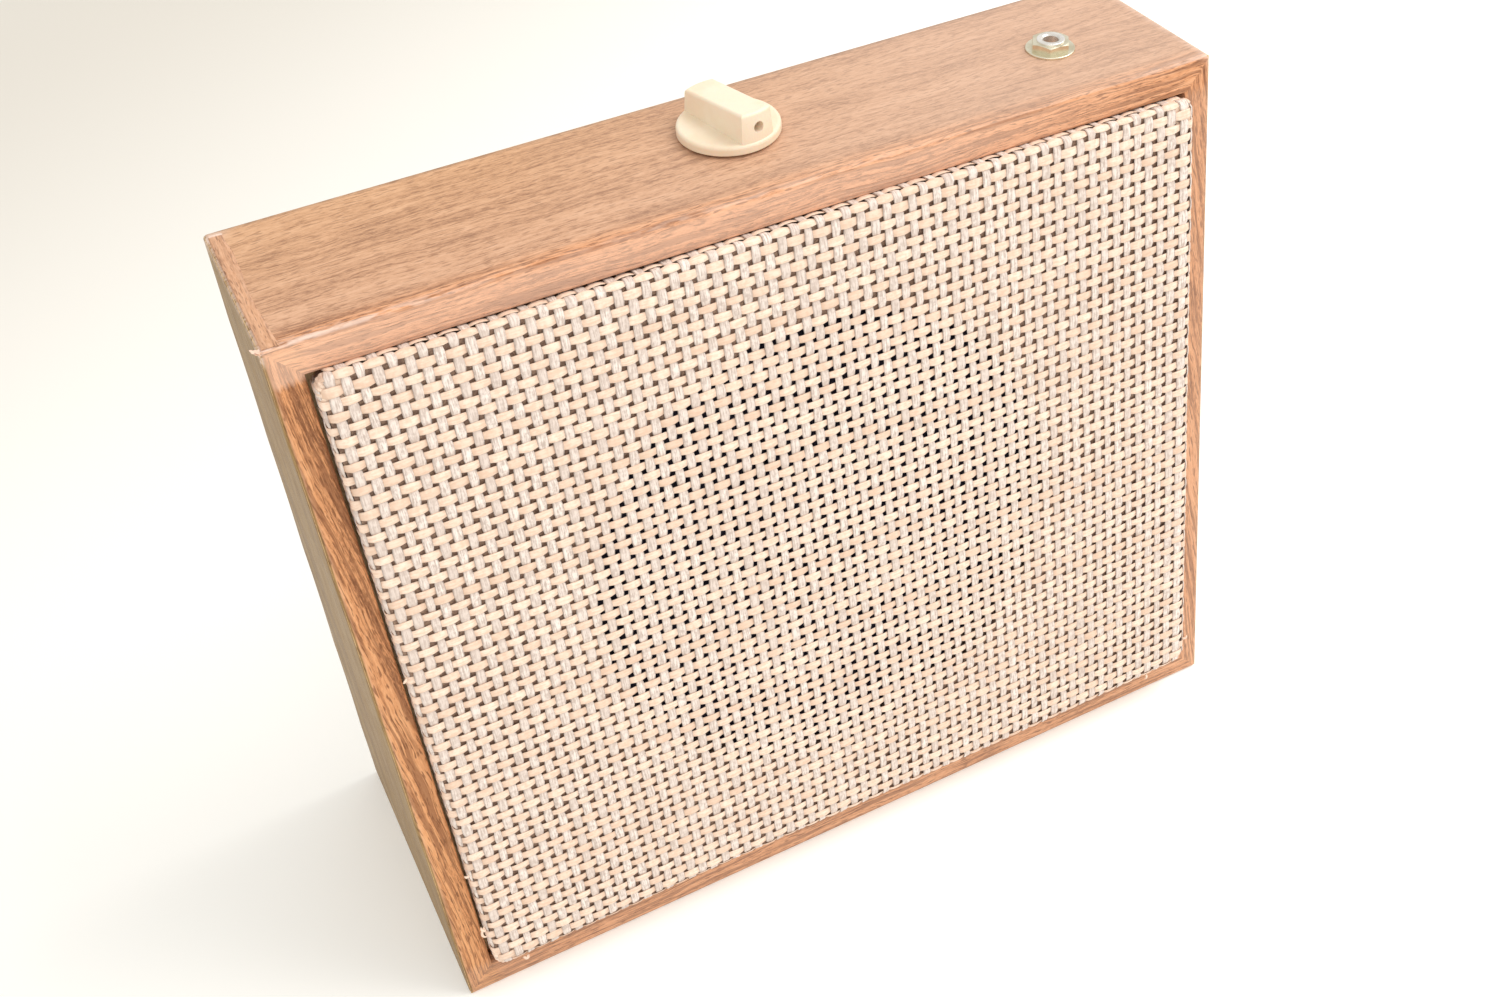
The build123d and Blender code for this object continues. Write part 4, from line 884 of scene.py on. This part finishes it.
def fray_ends():
    """Loose ends at the panel's edge: short bent tubes whose middle line leaves the cloth at
    (p, q) on the front and curls by an angle over its length, radius tapering to its tip."""
    sides = 8
    t = np.linspace(0, 1, 14)
    a = np.linspace(0, 2 * math.pi, sides, endpoint=False)
    rings, faces = [], []
    left, under = -panel_half + 0.2 * mm, -panel_half_height + 0.2 * mm
    for n, (p, q, heading, curl, length) in enumerate((
            (left, under + 14 * mm, 3.3, 2.6, 3.6), (left, under + 13 * mm, 2.9, -1.6, 2.2),
            (left + 6.4 * mm, under, -1.2, 1.9, 1.5), (left + 7.6 * mm, under, -2.0, -1.4, 1.3),
            (left, 9 * mm, 3.0, 1.2, 1.2), (-left, under + 7 * mm, -0.4, 1.8, 1.6),
            (-left - 12 * mm, under, -1.4, -1.7, 1.2), (left, under + 31 * mm, 3.4, -1.5, 1.3))):
        angle = heading + curl * t
        step = length * mm / (len(t) - 1)
        mid_p = p + np.cumsum(np.cos(angle)) * step
        mid_q = q + np.cumsum(np.sin(angle)) * step
        level = board_proud + (0.2 + 0.5 * np.sin(t * 2.4)) * mm
        radius = 0.33 * mm * np.sqrt(1.04 - t ** 3)
        cross = np.stack([-np.sin(angle), np.cos(angle), 0 * angle], -1)
        middle = np.stack([mid_p, mid_q + panel_middle, level], -1)
        spot = (middle[:, None] + radius[:, None, None] * (
            np.cos(a)[None, :, None] * cross[:, None]
            + np.sin(a)[None, :, None] * np.array([0, 0, 0.7])))
        rings.append(on_slope(spot))
        faces.append(grid_faces(len(t), sides, wrap_columns=True) + n * len(t) * sides)
    points, faces = np.array(rings), np.concatenate(faces)
    ends = np.arange(len(rings))[:, None] * len(t) * sides + np.arange(sides)
    tips = ends[:, ::-1] + (len(t) - 1) * sides
    caps = np.concatenate([ends, tips])
    piece = new_piece("frayed_ends", points, faces, finishes["weft"], caps=caps)
    corners = np.concatenate([faces.reshape(-1), caps.reshape(-1)])
    uv = np.stack([corners % sides / sides, corners // sides * 0.0003], -1)
    corner_uv(piece, "strand", uv)
    point_values(piece, "tone", np.full(points.shape[:-1], 0.3))


def weave_front():
    """The cloth: pale grooved strands up and down, slightly narrower peach strands across."""
    flat = np.array([(-1, 0.0), (-0.62, 0.95), (-0.08, 0.62), (0.5, 0.98), (1, 0.0),
                     (0.55, -0.9), (-0.55, -0.9)])
    round_ = np.array([(-1, 0.0), (-0.84, 0.85), (0.0, 1.0), (0.84, 0.85), (1, 0.0), (0.6, -0.9),
                       (-0.6, -0.9)])
    columns, warp_width = 69, 1.95 * mm
    rows, weft_width = 61, 1.78 * mm
    warp = weave_strands("cloth_warp", "q", columns, column_pitch, row_pitch, panel_half,
                         panel_half_height, warp_width, 0.32 * mm, 0.14 * mm, flat,
                         finishes["warp"])
    weft = weave_strands("cloth_weft", "p", rows, row_pitch, column_pitch, panel_half_height,
                         panel_half, weft_width, 0.30 * mm, -0.19 * mm, round_, finishes["weft"])
    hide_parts("grille_cloth")


# ------------------------------------------------------------------ stage
def lay_floor():
    """A plain pale floor, with painted shade darkening it away to the back left and a faint glow of
    its own as painted light that lifts its shadow.
    """
    # painted light: a faint glow of its own lifts the shadow on the floor
    material, nodes, shader = blank_material("pale_floor", Roughness=0.5, Emission_Color=(1, 1, 0.97, 1),
                                              Emission_Strength=0.10)
    place = nodes.tree.nodes.new("ShaderNodeTexCoord").outputs["Object"]
    cloud = nodes.noise(place, 3.0, 2.0)
    pale = nodes.mix(cloud, (0.93, 0.93, 0.90, 1), (0.96, 0.96, 0.93, 1))
    split = nodes.add("ShaderNodeSeparateXYZ", Vector=place)
    # painted shade: the floor darkens away to the back left
    away = nodes.maths("ADD", nodes.maths("MULTIPLY", split.outputs[0], -0.6), split.outputs[1])
    nodes.feed(shader, "Base Color", nodes.mix(nodes.between(away, 0.05, 0.65), pale,
                                               (0.64, 0.60, 0.53, 1)))
    reach = 6.0
    points = np.array([(-reach, -reach, 0), (reach, -reach, 0), (reach, reach, 0),
                       (-reach, reach, 0)], float)
    mesh = bpy.data.meshes.new("floor")
    mesh.from_pydata(points.tolist(), [], [(0, 1, 2, 3)])
    mesh.materials.append(material)
    floor = bpy.data.objects.new("floor", mesh)
    bpy.context.collection.objects.link(floor)


place_camera()
light_scene()
lay_floor()
cover_cabinet()
turn_over_side()
fray_corner()
weave_front()
tuck_corners()
fray_ends()
